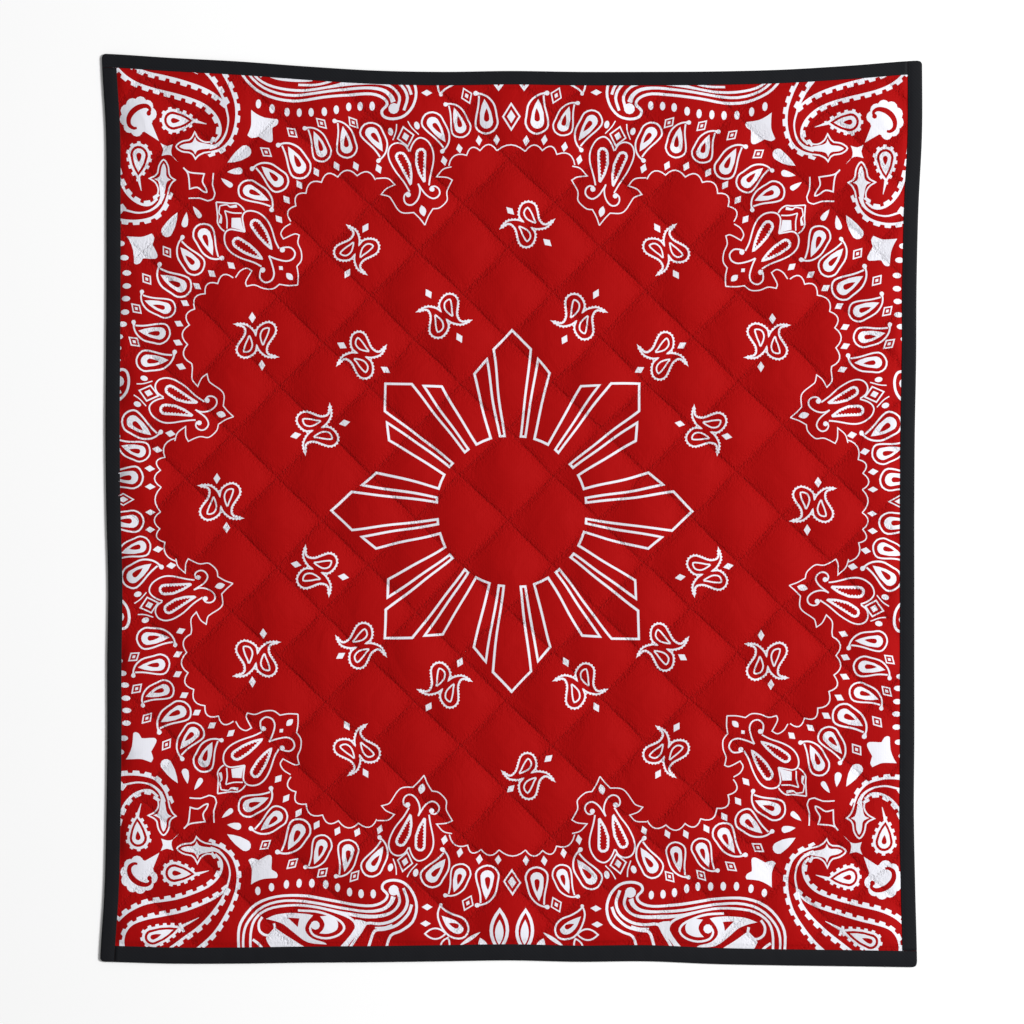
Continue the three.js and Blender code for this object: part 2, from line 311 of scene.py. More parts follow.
clothFinish = {
    "ground": "#a20506",        # red dyed polyester
    "ink": "#e6e6ee",           # white left by the print
    "threadPitch": 2.6,         # drawn eight times coarser than the real 0.33 mm, so that it shows
    "weaveDepth": 0.10,         # these depths are in millimetres
    "fluffDepth": 0.12,
    "creaseDepth": 3.1,         # faint creases all over, a hand's width long
    "gatherDepth": 4.8,         # short gathers beside the sewn lines
    "fluffScale": 60.0,         # these are cells to a metre: fluff of 17 mm, creases of 77 mm
    "creaseScale": 13.0,
    "gatherScale": 240.0,       # and gathers of 4 mm
    "roughness": (0.72, 0.84),
    "inkGloss": 0.06,           # how much smoother the white is
}


# Brushed polyester microfibre, plain woven and printed: matt, with a faint soft bloom at grazing
# angles and a fine even weave. The two inks share the weave and differ in colour and gloss.
def printedPolyester(name, colour, gloss):
    material, tree, shader = newMaterial(name)
    setShader(shader, {"Base Color": linear(colour), "IOR": 1.46, "Specular IOR Level": 0.08,
                       "Sheen Weight": 0.02, "Sheen Roughness": 0.45})
    place = addNode(tree, "ShaderNodeTexCoord").outputs["Object"]
    bands = []
    for turn in (0, math.pi / 2):
        turned = addNode(tree, "ShaderNodeMapping", inputs={"Vector": place, "Rotation": (0, 0, turn)})
        bands.append(addNode(
            tree, "ShaderNodeTexWave", {"wave_type": "BANDS", "bands_direction": "X"},
            {"Vector": turned.outputs["Vector"], "Scale": 0.314 / (clothFinish["threadPitch"] * toMetres) / 2,
             "Distortion": 0.6, "Detail": 1.0, "Detail Scale": 3.0}).outputs["Fac"])
    weave = addNode(tree, "ShaderNodeMath", {"operation": "MULTIPLY"}, {0: bands[0], 1: bands[1]})
    fluff = addNode(tree, "ShaderNodeTexNoise", inputs={
        "Vector": place, "Scale": clothFinish["fluffScale"], "Detail": 3.0})
    creases = addNode(tree, "ShaderNodeTexNoise", inputs={
        "Vector": place, "Scale": clothFinish["creaseScale"], "Detail": 4.0, "Distortion": 0.8})
    gathers = addNode(tree, "ShaderNodeTexNoise", inputs={
        "Vector": place, "Scale": clothFinish["gatherScale"], "Detail": 1.0, "Distortion": 0.6})
    nearSeam = addNode(tree, "ShaderNodeAttribute", {"attribute_name": "gathered"})
    drawn = addNode(tree, "ShaderNodeMath", {"operation": "MULTIPLY"},
                    {0: gathers.outputs["Fac"], 1: nearSeam.outputs["Fac"]})
    height = None
    for layer, depth in ((weave.outputs[0], "weaveDepth"), (fluff.outputs["Fac"], "fluffDepth"),
                         (creases.outputs["Fac"], "creaseDepth"), (drawn.outputs[0], "gatherDepth")):
        height = addNode(tree, "ShaderNodeMath", {"operation": "MULTIPLY_ADD"},
                         {0: layer, 1: clothFinish[depth], 2: height or 0.0}).outputs[0]
    bump = addNode(tree, "ShaderNodeBump", inputs={"Height": height, "Strength": 1.0, "Distance": toMetres})
    tree.links.new(bump.outputs["Normal"], shader.inputs["Normal"])
    low, high = clothFinish["roughness"]
    rough = addNode(tree, "ShaderNodeMapRange", inputs={
        "Value": height, "From Min": 0.3, "From Max": 1.3, "To Min": high, "To Max": low - gloss})
    tree.links.new(rough.outputs["Result"], shader.inputs["Roughness"])
    return material


redGround = printedPolyester("redGroundPrintedPolyester", clothFinish["ground"], 0.0)
whiteInk = printedPolyester("whiteInkPrintedPolyester", clothFinish["ink"], clothFinish["inkGloss"])

bindingFinish = {
    "face": "#121317",          # black dyed polyester satin strip
    "worn": "#1b1c20",          # where the weave stands up and the black is rubbed
    "ribPitch": 1.9,            # drawn six times coarser than the real 0.3 mm
    "ribDepth": 0.12,
    "rubbedScale": 14.0,        # rubbed places to a metre
}


# Black polyester strip, warp-faced and plain dyed: a dull black with a faint rib across the
# strip, greyer where it is rubbed along the fold
def blackStrip():
    material, tree, shader = newMaterial("blackPolyesterStrip")
    setShader(shader, {"IOR": 1.46, "Sheen Weight": 0.03, "Sheen Roughness": 0.5, "Specular IOR Level": 0.12})
    place = addNode(tree, "ShaderNodeTexCoord").outputs["Object"]
    rib = addNode(
        tree, "ShaderNodeTexWave", {"wave_type": "BANDS", "bands_direction": "DIAGONAL"},
        {"Vector": place, "Scale": 0.314 / (bindingFinish["ribPitch"] * toMetres) / 2,
         "Distortion": 1.2, "Detail": 2.0, "Detail Scale": 2.0})
    rubbed = addNode(tree, "ShaderNodeTexNoise", inputs={
        "Vector": place, "Scale": bindingFinish["rubbedScale"], "Detail": 5.0})
    share = addNode(tree, "ShaderNodeMath", {"operation": "MULTIPLY"},
                    {0: rubbed.outputs["Fac"], 1: rib.outputs["Fac"]})
    colour = addNode(tree, "ShaderNodeMix", {"data_type": "RGBA"}, {
        "Factor": share.outputs[0], "A": linear(bindingFinish["face"]), "B": linear(bindingFinish["worn"])})
    tree.links.new(colour.outputs["Result"], shader.inputs["Base Color"])
    bump = addNode(tree, "ShaderNodeBump", inputs={
        "Height": rib.outputs["Fac"], "Strength": 0.3, "Distance": bindingFinish["ribDepth"] * toMetres})
    tree.links.new(bump.outputs["Normal"], shader.inputs["Normal"])
    rough = addNode(tree, "ShaderNodeMapRange", inputs={
        "Value": rubbed.outputs["Fac"], "From Min": 0.3, "From Max": 0.7, "To Min": 0.58, "To Max": 0.7})
    tree.links.new(rough.outputs["Result"], shader.inputs["Roughness"])
    return material


threadFinish = {
    "red": ("#8e0d12", "#6a080c"),      # the lit and the shaded side of the twist
    "black": ("#2c2d33", "#1a1a1e"),
    "twistScale": 420.0,        # one turn of the twist in 0.37 mm
}


# Spun polyester sewing thread, dyed to match: a low sheen, with the twist's lit and shaded sides painted into
# its colour as fine bands
def sewingThread(name, lit, shaded):
    material, tree, shader = newMaterial(name)
    setShader(shader, {"IOR": 1.5, "Roughness": 0.55})
    place = addNode(tree, "ShaderNodeTexCoord").outputs["Object"]
    twist = addNode(tree, "ShaderNodeTexWave", {"bands_direction": "DIAGONAL"}, {
        "Vector": place, "Scale": threadFinish["twistScale"], "Distortion": 0.4})
    # painted light and shade: the lit and the shaded colour of the thread, banded along its twist
    paintedTwistShade = addNode(tree, "ShaderNodeMix", {"data_type": "RGBA"}, {
        "Factor": twist.outputs["Fac"], "A": linear(shaded), "B": linear(lit)})
    tree.links.new(paintedTwistShade.outputs["Result"], shader.inputs["Base Color"])
    return material


blackBinding = blackStrip()
redThread = sewingThread("redPolyesterThread", *threadFinish["red"])
blackThread = sewingThread("blackPolyesterThread", *threadFinish["black"])
print("materials made")


# The print: shapes that are laid one over another, white or red

white, red = 1, 0
printPlan = {
    "centre": 0.9 + 22.9j,      # of the border and the scattered sprigs
    "sunDrop": -22j,            # the sun sits this far below that centre
    "unit": 2.2,                # the border and the sun are drawn in units of this length
    "longest": 11.0,            # longest stretch of an outline, so that it follows the relief
    "follow": 0.8,              # how much of the edges' drawing in the print shares
    "closerPast": 700.0,        # beyond this to the left and right the ring is set closer
    "closerOver": 60.0,         # and all of the way after this much more
    "closerUp": [0, 35, 110, 240],      # distances from the middle line
    "closerBy": [0, 5, 7, 0],           # and how much closer there
}
everyQuarter, leftRight, topBottom = (0, 1, 2, 3), (0, 2), (1, 3)
printed = []


# The print goes with the cloth where sewing has drawn the top and bottom in between the corners
def drawnWithEdges(place):
    moved = place.copy()
    for side in ("top", "bottom"):
        middle = edges[side]["steps"][len(edges[side]["steps"]) // 2]
        share = np.clip(edges[side]["facing"] * place.imag / edges[side]["half"], 0, 1) ** 3
        drawnIn = printPlan["follow"] * (edgeStep(side, place.real) - middle) * share
        moved = moved + 1j * edges[side]["facing"] * drawnIn
    return moved


# How far the print strays on the cloth, rounded to a millimetre, at places across it and up it
printStray = {
    "across": [-860, -430, 0, 430, 860],
    "up": [-950, -475, 0, 475, 950],
    "moved": [[3 - 2j, 3 + 5j, 1 + 3j, -2 - 1j, -2 - 7j],
              [-4 + 6j, 2 + 2j, 2 - 3j, -2j, 4 - 2j],
              [-3 + 2j, 2, 1 - 1j, 1 - 2j, 4 - 2j],
              [-3, 2 - 1j, 1 + 1j, -1j, 5 - 5j],
              [5j, 2 + 3j, 1j, -1 + 6j, 1 + 7j]],
}


def closedUp(place):
    off = place - printPlan["centre"]
    share = np.clip((abs(off.real) - printPlan["closerPast"]) / printPlan["closerOver"], 0, 1)
    by = np.interp(np.abs(off.imag), printPlan["closerUp"], printPlan["closerBy"])
    return place - 1j * share * np.sign(off.imag) * by


def strayed(place):
    rows = np.array([np.interp(place.real, printStray["across"], row) for row in printStray["moved"]])
    level = np.interp(place.imag, printStray["up"], np.arange(len(rows)))
    below = np.minimum(level.astype(int), len(rows) - 2)
    share = level - below
    at = np.arange(len(place))
    return place + rows[below, at] * (1 - share) + rows[below + 1, at] * share


def layShapes(shapes, at=0j, turn=1, mirrored=False):
    for outline, ink in shapes:
        laid = at + turn * (np.conj(outline) if mirrored else outline)
        printed.append((strayed(drawnWithEdges(closedUp(laid))), ink))


# Lays shapes drawn with x outwards from the centre and y to one side, towards each of the
# quarters, and mirrored too unless they are their own mirror image
def layAllRound(shapes, ownMirror=False, quarters=everyQuarter):
    for quarter in quarters:
        for mirrored in ((False,) if ownMirror else (False, True)):
            layShapes(shapes, printPlan["centre"], printPlan["unit"] * 1j**quarter, mirrored)


def polar(degrees, radius):
    return cmath.rect(radius, math.radians(degrees))


# A smooth line through the points
def smooth(points, steps=4, closed=False):
    p = np.asarray(points, complex)
    if closed:
        before, after, later = np.roll(p, 1), np.roll(p, -1), np.roll(p, -2)
    else:
        ends = np.concatenate([[2 * p[0] - p[1]], p, [2 * p[-1] - p[-2]]])
        before, p, after, later = ends[:-3], ends[1:-2], ends[2:-1], ends[3:]
    t = (np.arange(steps) / steps)[None, :]
    b, s, a, l = before[:, None], p[:, None], after[:, None], later[:, None]
    line = 0.5 * (2 * s + (a - b) * t + (2 * b - 5 * s + 4 * a - l) * t**2
                  + (3 * s - b - 3 * a + l) * t**3)
    line = line.ravel()
    return line if closed else np.append(line, points[-1])


# The line with more points where a stretch would be too long to follow the relief
def fine(points, longest, closed=False):
    p = np.asarray(points, complex)
    ends = np.roll(p, -1) if closed else p[1:]
    line = []
    for start, end in zip(p, ends):
        count = max(1, math.ceil(abs(end - start) / longest))
        line += [start + (end - start) * k / count for k in range(count)]
    return np.array(line if closed else line + [p[-1]])


# A drawn line of a width, or of a width at each point: a four-sided piece for each stretch
def drawnLine(points, width, closed=False, ink=white, mitreLimit=2.2):
    p = np.asarray(points, complex)
    widths = np.broadcast_to(np.asarray(width, float), p.shape)
    to = np.roll(p, -1) - p
    if not closed:
        to[-1] = p[-1] - p[-2]
    way = to / np.maximum(np.abs(to), 1e-9)
    came = np.roll(way, 1)
    if not closed:
        came[0] = way[0]
    bend = way + came
    bend = np.where(np.abs(bend) < 1e-6, way, bend)
    bend = bend / np.abs(bend)
    reach = np.minimum(1 / np.maximum((bend * np.conj(way)).real, 1e-3), mitreLimit)
    left, right = p + 0.5j * bend * widths * reach, p - 0.5j * bend * widths * reach
    shapes = []
    for i in range(len(p) if closed else len(p) - 1):
        j = (i + 1) % len(p)
        piece = np.array([right[i], right[j], left[j], left[i]])
        corners = np.roll(piece, -1) - piece
        turns = (np.conj(corners) * np.roll(corners, -1)).imag
        if turns.min() < 0:
            square = 0.5j * way[i]
            piece = np.array([p[i] - square * widths[i], p[j] - square * widths[j],
                              p[j] + square * widths[j], p[i] + square * widths[i]])
        shapes.append((piece, ink))
    return shapes


def circle(centre, radius, count=12, start=0.0):
    return centre + radius * np.exp(2j * math.pi * (np.arange(count) / count) + 1j * start)


def diamond(centre, halfLong, halfShort, turn=1.0):
    return centre + turn * np.array([halfLong, 1j * halfShort, -halfLong, -1j * halfShort])


sunPlan = {
    "ray": [(22.5, 75.6), (16.9, 75.6), (15.6, 142), (9.8, 152.8), (9.9, 75.4), (6.4, 75), (6.8, 161.5)],
    "tip": 180.0,
    "line": 2.35,
}


# The sun of a flag: eight groups of rays round a disc, in one closed line
def sun():
    halfGroup = [polar(degrees, radius) for degrees, radius in sunPlan["ray"]]
    group = halfGroup + [sunPlan["tip"] + 0j] + [z.conjugate() for z in reversed(halfGroup[1:])]
    loop = [z * polar(-45 * k, 1) for k in range(8) for z in group]
    return drawnLine(fine(loop, printPlan["longest"] / printPlan["unit"], True), sunPlan["line"], True,
                     mitreLimit=2.0)


layShapes(sun(), printPlan["centre"] + printPlan["sunDrop"], printPlan["unit"])

# The scattered sprigs: two teardrops turned about one middle, in millimetres

sprigPlan = {
    "outer": [59.2 + 10j, 42.4 - 1j, 34 + 1.5j, 25.5 + 11.4j, 20.6 + 31j, 15 + 45j, 2.4 + 51j, -11 + 46.4j,
              -18 + 32.4j, -17.7 + 17j, -8.1 + 5.5j, -16.6 + 9.3j, -30.6 + 9.7j, -44.6 + 5.8j],
    "inner": [17.8 + 4.4j, 14.3 + 12.8j, 8.7 + 25.4j, -0.4 + 38j, -8.1 + 26.8j, -1.1 + 12.8j],
    "line": 3.3,
    "tooth": 2.2,               # how far the small teeth stand out
    "toothPitch": 6.6,
    "diamond": (12, 7.4),
    "diamondTurn": -44,
}

# The sprigs of the upper left, which are mirrored to the other three quarters: the place in
# units, the turn, and where two small diamonds lie beside each, in millimetres
sprigPlaces = [
    {"at": -155 + 250.3j, "turn": 102, "diamonds": [18.1 + 48.4j, -21.9 - 52.9j]},
    {"at": -254.8 + 159.8j, "turn": -47, "diamonds": [-9.6 + 50.9j, 12.9 - 56.3j]},
    {"at": -68 + 184j, "turn": -19, "diamonds": [-35 + 49.1j, 33.3 - 49.6j]},
    {"at": -150.7 + 145.4j, "turn": 12, "diamonds": [-43.7 + 21.8j, 51.8 - 31j]},
    {"at": -194.5 + 71j, "turn": 54.5, "diamonds": [-46.6 - 12.9j, 58.8 + 12.4j]},
]
# The four on the middle lines
upright = {"turn": 0, "mirrorX": False, "diamonds": [-37.8 + 29.7j, 44.7 - 40.9j]}
lying = {"turn": -47, "mirrorY": False, "diamonds": [-9.2 + 50.6j, 13 - 56.4j]}
middleSprigs = [
    {"at": 16.1 + 275.2j, "mirrorY": False, **upright},
    {"at": 16.3 - 275.2j, "mirrorY": True, **upright},
    {"at": -290.9 - 2.4j, "mirrorX": False, **lying},
    {"at": 300.4 - 3.3j, "mirrorX": True, **lying},
]


def evenly(line, pitch, closed=False):
    p = np.append(line, line[0]) if closed else line
    run = np.concatenate([[0], np.cumsum(np.abs(np.diff(p)))])
    count = max(2, round(run[-1] / pitch))
    at = run[-1] * (np.arange(count) if closed else np.linspace(0, count, count + 1)) / count
    return np.interp(at, run, p.real) + 1j * np.interp(at, run, p.imag)


# A closed line with small teeth along its right side
def toothedLoop(points, width, pitch, tooth):
    line = evenly(points, pitch, True)
    ahead = np.roll(line, -1)
    line = np.stack([line, (line + ahead) / 2], axis=1).ravel()
    way = np.roll(line, -1) - np.roll(line, 1)
    right = -1j * way / np.abs(way)
    standing = np.where(np.arange(len(line)) % 2 == 0, tooth, 0)
    outer, inner = line + right * (width / 2 + standing), line - right * width / 2
    return [(np.array([outer[k - 1], outer[k], inner[k], inner[k - 1]]), white) for k in range(len(line))]


def sprig(turn, diamonds):
    half = smooth(sprigPlan["outer"] + [-59.2 - 10j], 3)[:-1]
    shapes = toothedLoop(np.concatenate([half, -half]), sprigPlan["line"], sprigPlan["toothPitch"],
                         sprigPlan["tooth"])
    inner = smooth(sprigPlan["inner"], 3, True)
    for way in (1, -1):
        shapes += drawnLine(way * inner, sprigPlan["line"], True, mitreLimit=1.5)
    shapes = [(polar(turn, 1) * outline, ink) for outline, ink in shapes]
    for place in diamonds:
        outline = diamond(place, *sprigPlan["diamond"], polar(turn + sprigPlan["diamondTurn"], 1))
        shapes.append((fine(outline, printPlan["longest"], True), white))
    return shapes


def laySprig(at, turn, mirrorX, mirrorY, diamonds):
    shapes = sprig(turn, diamonds)
    if mirrorX:
        shapes = [(-np.conj(outline), ink) for outline, ink in shapes]
    if mirrorY:
        shapes = [(np.conj(outline), ink) for outline, ink in shapes]
    layShapes(shapes, printPlan["centre"] + printPlan["unit"] * at)


for spot in sprigPlaces:
    for mirrorX in (False, True):
        for mirrorY in (False, True):
            x = spot["at"].real * (-1 if mirrorX else 1)
            y = spot["at"].imag * (-1 if mirrorY else 1)
            besideSun = mirrorY and spot["turn"] == 12      # the sun's corner takes one diamond's place
            laySprig(complex(x, y), spot["turn"], mirrorX, mirrorY, spot["diamonds"][:1 if besideSun else 2])
for spot in middleSprigs:
    laySprig(**spot)

# The ring: a scalloped line, with hooked drops and small diamonds outside it. Places in it are
# degrees from the middle line and distances from the centre.

ringPlan = {
    "cusps": [[(2.27, 349.5), (5.1, 351), (7.45, 348), (10.7, 340)],
              [(23, 347), (25.5, 358.5), (28.4, 366), (31, 369.4), (34, 368.5), (36.5, 364), (38.65, 355.2)]],
    "bulge": 6.0,
    "line": 1.2,
    "dottedDiamonds": [(6.3, 406.7, 1.25), (22.8, 407.9, 1), (27, 419.1, 1), (31.2, 425.2, 1),
                       (35.6, 423.7, 1)],
    "axisDiamonds": [(382.5, 1, topBottom), (387, 0.83, leftRight)],
    "diamonds": [(2.3, 360), (5.2, 361.2), (8.5, 356), (11.3, 346), (21.9, 355.6), (25.1, 367.6),
                 (27.8, 375.8), (31, 380.7), (34.2, 379.4), (37.1, 374.6), (39.9, 364.3)],
}

# The drops in runs: the side that the hook turns to, the quarters, and each head and tail
dropRuns = [
    (True, everyQuarter, [((25.2, 388.3), (25.2, 416)), ((28.9, 395.5), (29.4, 422.2)),
                          ((32.8, 393.7), (33.7, 422.7)), ((36.5, 394.5), (38.4, 419.2))]),
    (True, topBottom, [((3.8, 378.6), (5, 408.3)), ((7.8, 377.2), (9.5, 401.6))]),
    (True, leftRight, [((3.7, 379), (4.8, 409)), ((7.75, 372.9), (9.5, 397.4))]),
    (False, topBottom, [((21, 392), (21.5, 363))]),
    (False, leftRight, [((21, 388.8), (23.6, 366.4))]),
    (False, everyQuarter, [((11.9, 385.3), (11.3, 355.9)), ((40.5, 403.9), (39.8, 375.9))]),
]


def scallop(start, end, bulge):
    chord = end - start
    t = np.arange(1, 6) / 6
    return [start] + list(start + chord * t - 1j * chord / abs(chord) * bulge * 4 * t * (1 - t))


def scallops(cusps):
    points = [polar(*cusp) for cusp in cusps]
    line = []
    for start, end in zip(points, points[1:]):
        line += scallop(start, end, ringPlan["bulge"])
    return drawnLine(line + [points[-1]], ringPlan["line"])


# A plain teardrop with a round head and a pointed tip
def teardrop(head, tip, radius, count=9, bend=0.0):
    run = tip - head
    length = abs(run)
    opening = math.acos(min(0.95, radius / length))
    turns = np.linspace(opening, 2 * math.pi - opening, count)
    roundHead = radius * np.exp(1j * turns)
    sides = np.array([0.35, 0.7])
    start = radius * cmath.rect(1, -opening)
    down = start + (length - start) * sides - 0.06j * length * np.sin(math.pi * sides)
    up = np.conj(down)[::-1]
    outline = np.concatenate([roundHead, down, [length], up])
    outline = outline + 1j * bend * (outline.real / length) ** 2 * length
    return head + outline * run / length


# A drop with a hooked tail, with its head at 0: a line round a white drop with a red eye
dropPlan = {
    "ball": 29.5 + 5.3j,        # at the end of the tail
    "ballRadius": 2.4,
    "hook": [2.4, 4.2],         # width of the tail where it joins the line and at the ball
    "headRadius": 11.3,
    "headTurns": [-75, -110, -150, 170, 130, 100],
    "outside": [27.6 - 0.6j, 24.4 - 5j, 19.2 - 8.7j, 12.9 - 10.8j],
    "inside": [5.8 + 9.1j, 12.3 + 6.3j, 19.2 + 3.9j],
    "line": 1.75,
    "filling": (0j, 22.5 - 2.2j, 6.6),      # head, tip and radius of the white drop
    "eye": (2.6 - 0.6j, 12.8 - 2.6j, 2.7, 7),       # and of the red one, with its number of points
}


def hookedDrop():
    ball = dropPlan["ball"]
    head = [polar(turn, 1) * dropPlan["headRadius"] for turn in dropPlan["headTurns"]]
    join = ball + 0.55 * (28 - ball)
    line = smooth([join] + dropPlan["outside"] + head + dropPlan["inside"] + [join - 2], 2)
    shapes = drawnLine(line, dropPlan["line"]) + drawnLine([join - 0.3, ball], dropPlan["hook"])
    return shapes + [(circle(ball, dropPlan["ballRadius"], 8), white),
                     (teardrop(*dropPlan["filling"]), white), (teardrop(*dropPlan["eye"]), red)]


def placedDrop(head, tail, hookLeft):
    ball = dropPlan["ball"] if hookLeft else dropPlan["ball"].conjugate()
    turn = (tail - head) / ball
    return [(head + turn * (outline if hookLeft else np.conj(outline)), ink) for outline, ink in hookedDrop()]


def dottedDiamond(degrees, radius, size):
    centre, turn = polar(degrees, radius), polar(degrees + 18, size)
    return (drawnLine(diamond(centre, 6.4, 4.3, turn), 1.3, True)
            + [(diamond(centre, 2.3, 1.6, turn), white)])


for cusps in ringPlan["cusps"]:
    layAllRound(scallops(cusps))
firstDegrees, firstRadius = ringPlan["cusps"][0][0]
layAllRound(scallops([(-firstDegrees, firstRadius), (firstDegrees, firstRadius)]), ownMirror=True)
for hookLeft, quarters, drops in dropRuns:
    for head, tail in drops:
        layAllRound(placedDrop(polar(*head), polar(*tail), hookLeft), quarters=quarters)
for place in ringPlan["dottedDiamonds"]:
    layAllRound(dottedDiamond(*place))
axisDiamond = drawnLine(diamond(0, 12.6, 8.2), 1.7, True) + [(diamond(0, 6.4, 4.2), white)]
for radius, size, quarters in ringPlan["axisDiamonds"]:
    layAllRound([(radius + size * outline, ink) for outline, ink in axisDiamond], True, quarters)
layAllRound([(diamond(polar(*place), 5.2, 3.3, polar(place[0], 1)), white) for place in ringPlan["diamonds"]])
print("ring drawn")

# Cartouches: a framed heart between two stretches of the ring, drawn with x outwards from its
# tip. The ones beside each middle line have a diamond at their outer end, and the ones towards
# the corners a crown.

cartouchePlan = {
    # Beside the middle lines: the tip, the turn in degrees, the size and the quarters
    "beside": [(polar(17.7, 289), 12.3, 1, topBottom), (polar(16.7, 290), 15.8, 0.965, leftRight)],
    "sideJoin": [318.7 + 131.2j, 319.4 + 135.7j],   # from the frame's foot to the first cusp
    "cornerTip": polar(45, 303.4),
    "frameLine": 1.15,
    "heartLine": 1.5,
    "farFrame": [[0, 7.3 + 3.6j], [13.9 + 7.8j, 15.8 + 17.7j, 20.4 + 22.5j, 30.2 + 26.2j, 34.6 + 28.5j],
                 [38.3 + 35.1j, 42.5 + 29.3j], [44.4 + 20.2j, 51.7 + 25.4j], [54.4 + 36.4j]],
    "farLobe": [75, 80.9 + 2.2j, 84.3 + 6j, 85.3 + 10.3j, 84 + 15.1j, 80.3 + 18.5j, 75.5 + 20.2j,
                69.6 + 20.2j, 63.5 + 18.9j, 56.6 + 16.6j, 50.1 + 13.5j, 43.6 + 10.4j, 34.2 + 7.2j],
    "farFoot": [40.5 - 2.9j, 36 - 3.5j, 32 - 2.8j, 27.6 - 0.7j, 23.8 + 2.7j, 21.5 + 7.1j, 22.1 + 11.2j,
                24.9 + 13.8j, 28.9 + 14.2j, 32.4 + 12.5j, 34.1 + 8.5j],
    "farDrop": {"head": 70.4 + 8.9j, "tip": 42.5 - 1.9j, "bend": -0.23},
    "nearFrame": [[0, 7.2 - 4.9j], [13.4 - 10.9j, 13.2 - 17.9j, 18.7 - 26.6j, 25.5 - 28.1j, 29.6 - 29.9j],
                  [37.5 - 36.8j, 41.5 - 31.9j], [44.5 - 22.5j, 50.2 - 30.5j], [50.6 - 39j]],
    "nearLobe": [74.5 - 0.6j, 79.9 - 4j, 84.1 - 8.2j, 85.8 - 13.1j, 83.7 - 17.8j, 79.3 - 21.4j, 72.3 - 23.7j,
                 65.2 - 23.8j, 57.9 - 21.9j, 50.8 - 18.7j, 43.7 - 15.5j, 37.2 - 13.1j],
    "nearFoot": [40.5 - 2.9j, 35.4 - 4.7j, 29.4 - 7.2j, 25.5 - 10.3j, 23.4 - 14j, 24.4 - 18.4j, 27.6 - 21.4j,
                 32.1 - 21.4j, 35.3 - 18.6j, 35.3 - 14.3j],
    "nearDrop": {"head": 70.5 - 11.3j, "tip": 42.6 - 2.4j, "bend": 0.26},
    "cornerFrame": [[0, 6.5 + 7j], [13.3 + 12j, 14.8 + 19.5j, 21.4 + 25.5j, 29.5 + 29j],
                    [34.3 + 35.5j, 38.2 + 32.8j], [41.7 + 21.5j, 47.4 + 23.4j, 49.6 + 30j], [48.2 + 37.5j]],
    "cornerLobe": [73.3, 79.8 + 4.5j, 84.8 + 8.6j, 86.3 + 14j, 83 + 19.4j, 76.5 + 23.2j, 68 + 23.6j,
                   58 + 20.4j, 46 + 14.4j, 37.5 + 11.8j],
    "cornerFoot": [39.5, 32.5 + 2.7j, 23.8 + 8.1j, 21.2 + 14.5j, 24.1 + 20j, 30.3 + 20.6j, 34.5 + 16.6j,
                   36.6 + 12.6j],
    "cornerDrop": {"head": 71.2 + 12.4j, "tip": 42 + 6.2j},
}


# A line of smooth stretches, each of which starts at a sharp corner
def cornered(stretches, steps=3, closed=True):
    line = []
    for k, stretch in enumerate(stretches):
        if k == len(stretches) - 1 and not closed:
            line += list(smooth(stretch, steps)) if len(stretch) > 1 else stretch
        else:
            following = stretches[(k + 1) % len(stretches)][0]
            line += list(smooth(stretch + [following], steps))[:-1]
    return np.array(line, complex)


def bothSides(shapes):
    return shapes + [(np.conj(outline), ink) for outline, ink in shapes]


# A leaf or eye with two points
def pointedOval(centre, halfLong, halfWide, turn=1.0, count=4):
    t = np.linspace(-1, 1, 2 * count + 1)
    upper = t * halfLong + 1j * halfWide * (1 - t**2)
    return centre + turn * np.concatenate([upper, np.conj(upper[::-1])[1:-1]])


def oval(centre, halfLong, halfWide, turn=1.0, count=10):
    t = 2 * math.pi * np.arange(count) / count
    return centre + turn * (halfLong * np.cos(t) + 1j * halfWide * np.sin(t))


# Teeth set along the left side of a line
def teeth(line, pitch, length, height, closed=False):
    middle = evenly(line, pitch, closed)
    way = (np.roll(middle, -1) - np.roll(middle, 1)) if closed else np.gradient(middle)
    way = way / np.abs(way)
    return [(np.array([m - w * length / 2, m + w * length / 2, m + w * length * 0.4 + 1j * w * height,
                       m - w * length * 0.4 + 1j * w * height]), white) for m, w in zip(middle, way)]


def toothedDropLine(head, tip, bend=0.0):
    return toothedLoop(teardrop(head, tip, 4.8, 8, bend)[::-1], 1.9, 3.3, 1.2)


def heartFeet(lobe, foot):
    half = drawnLine(smooth(lobe, 3), cartouchePlan["heartLine"], mitreLimit=1.5)
    half += drawnLine(smooth(foot, 3), cartouchePlan["heartLine"], mitreLimit=1.5)
    return half + [(circle(foot[-1] - 2.4 + 0.6j * np.sign(foot[-1].imag), 2.6, 8), white)]


# The frame, the lobe with its curled foot and the toothed drop in it, on one side
def cartoucheSide(side):
    shapes = drawnLine(cornered(cartouchePlan[side + "Frame"], 4, False), cartouchePlan["frameLine"])
    shapes += heartFeet(cartouchePlan[side + "Lobe"], cartouchePlan[side + "Foot"])
    return shapes + toothedDropLine(**cartouchePlan[side + "Drop"])


def besideCartouche():
    half = [(oval(98 + 13.5j, 4, 2.7), white)]
    half += drawnLine(smooth([104 + 5.8j, 97 + 8j, 89 + 13j], 3), 1.15)
    shapes = bothSides(half) + cartoucheSide("far") + cartoucheSide("near")
    shapes.append((pointedOval(13.6 - 0.9j, 5.4, 3.2), white))
    shapes += drawnLine(diamond(89.7, 9.8, 8), 1.5, True)
    shapes.append((diamond(89.7, 4.4, 3.6), white))
    return shapes


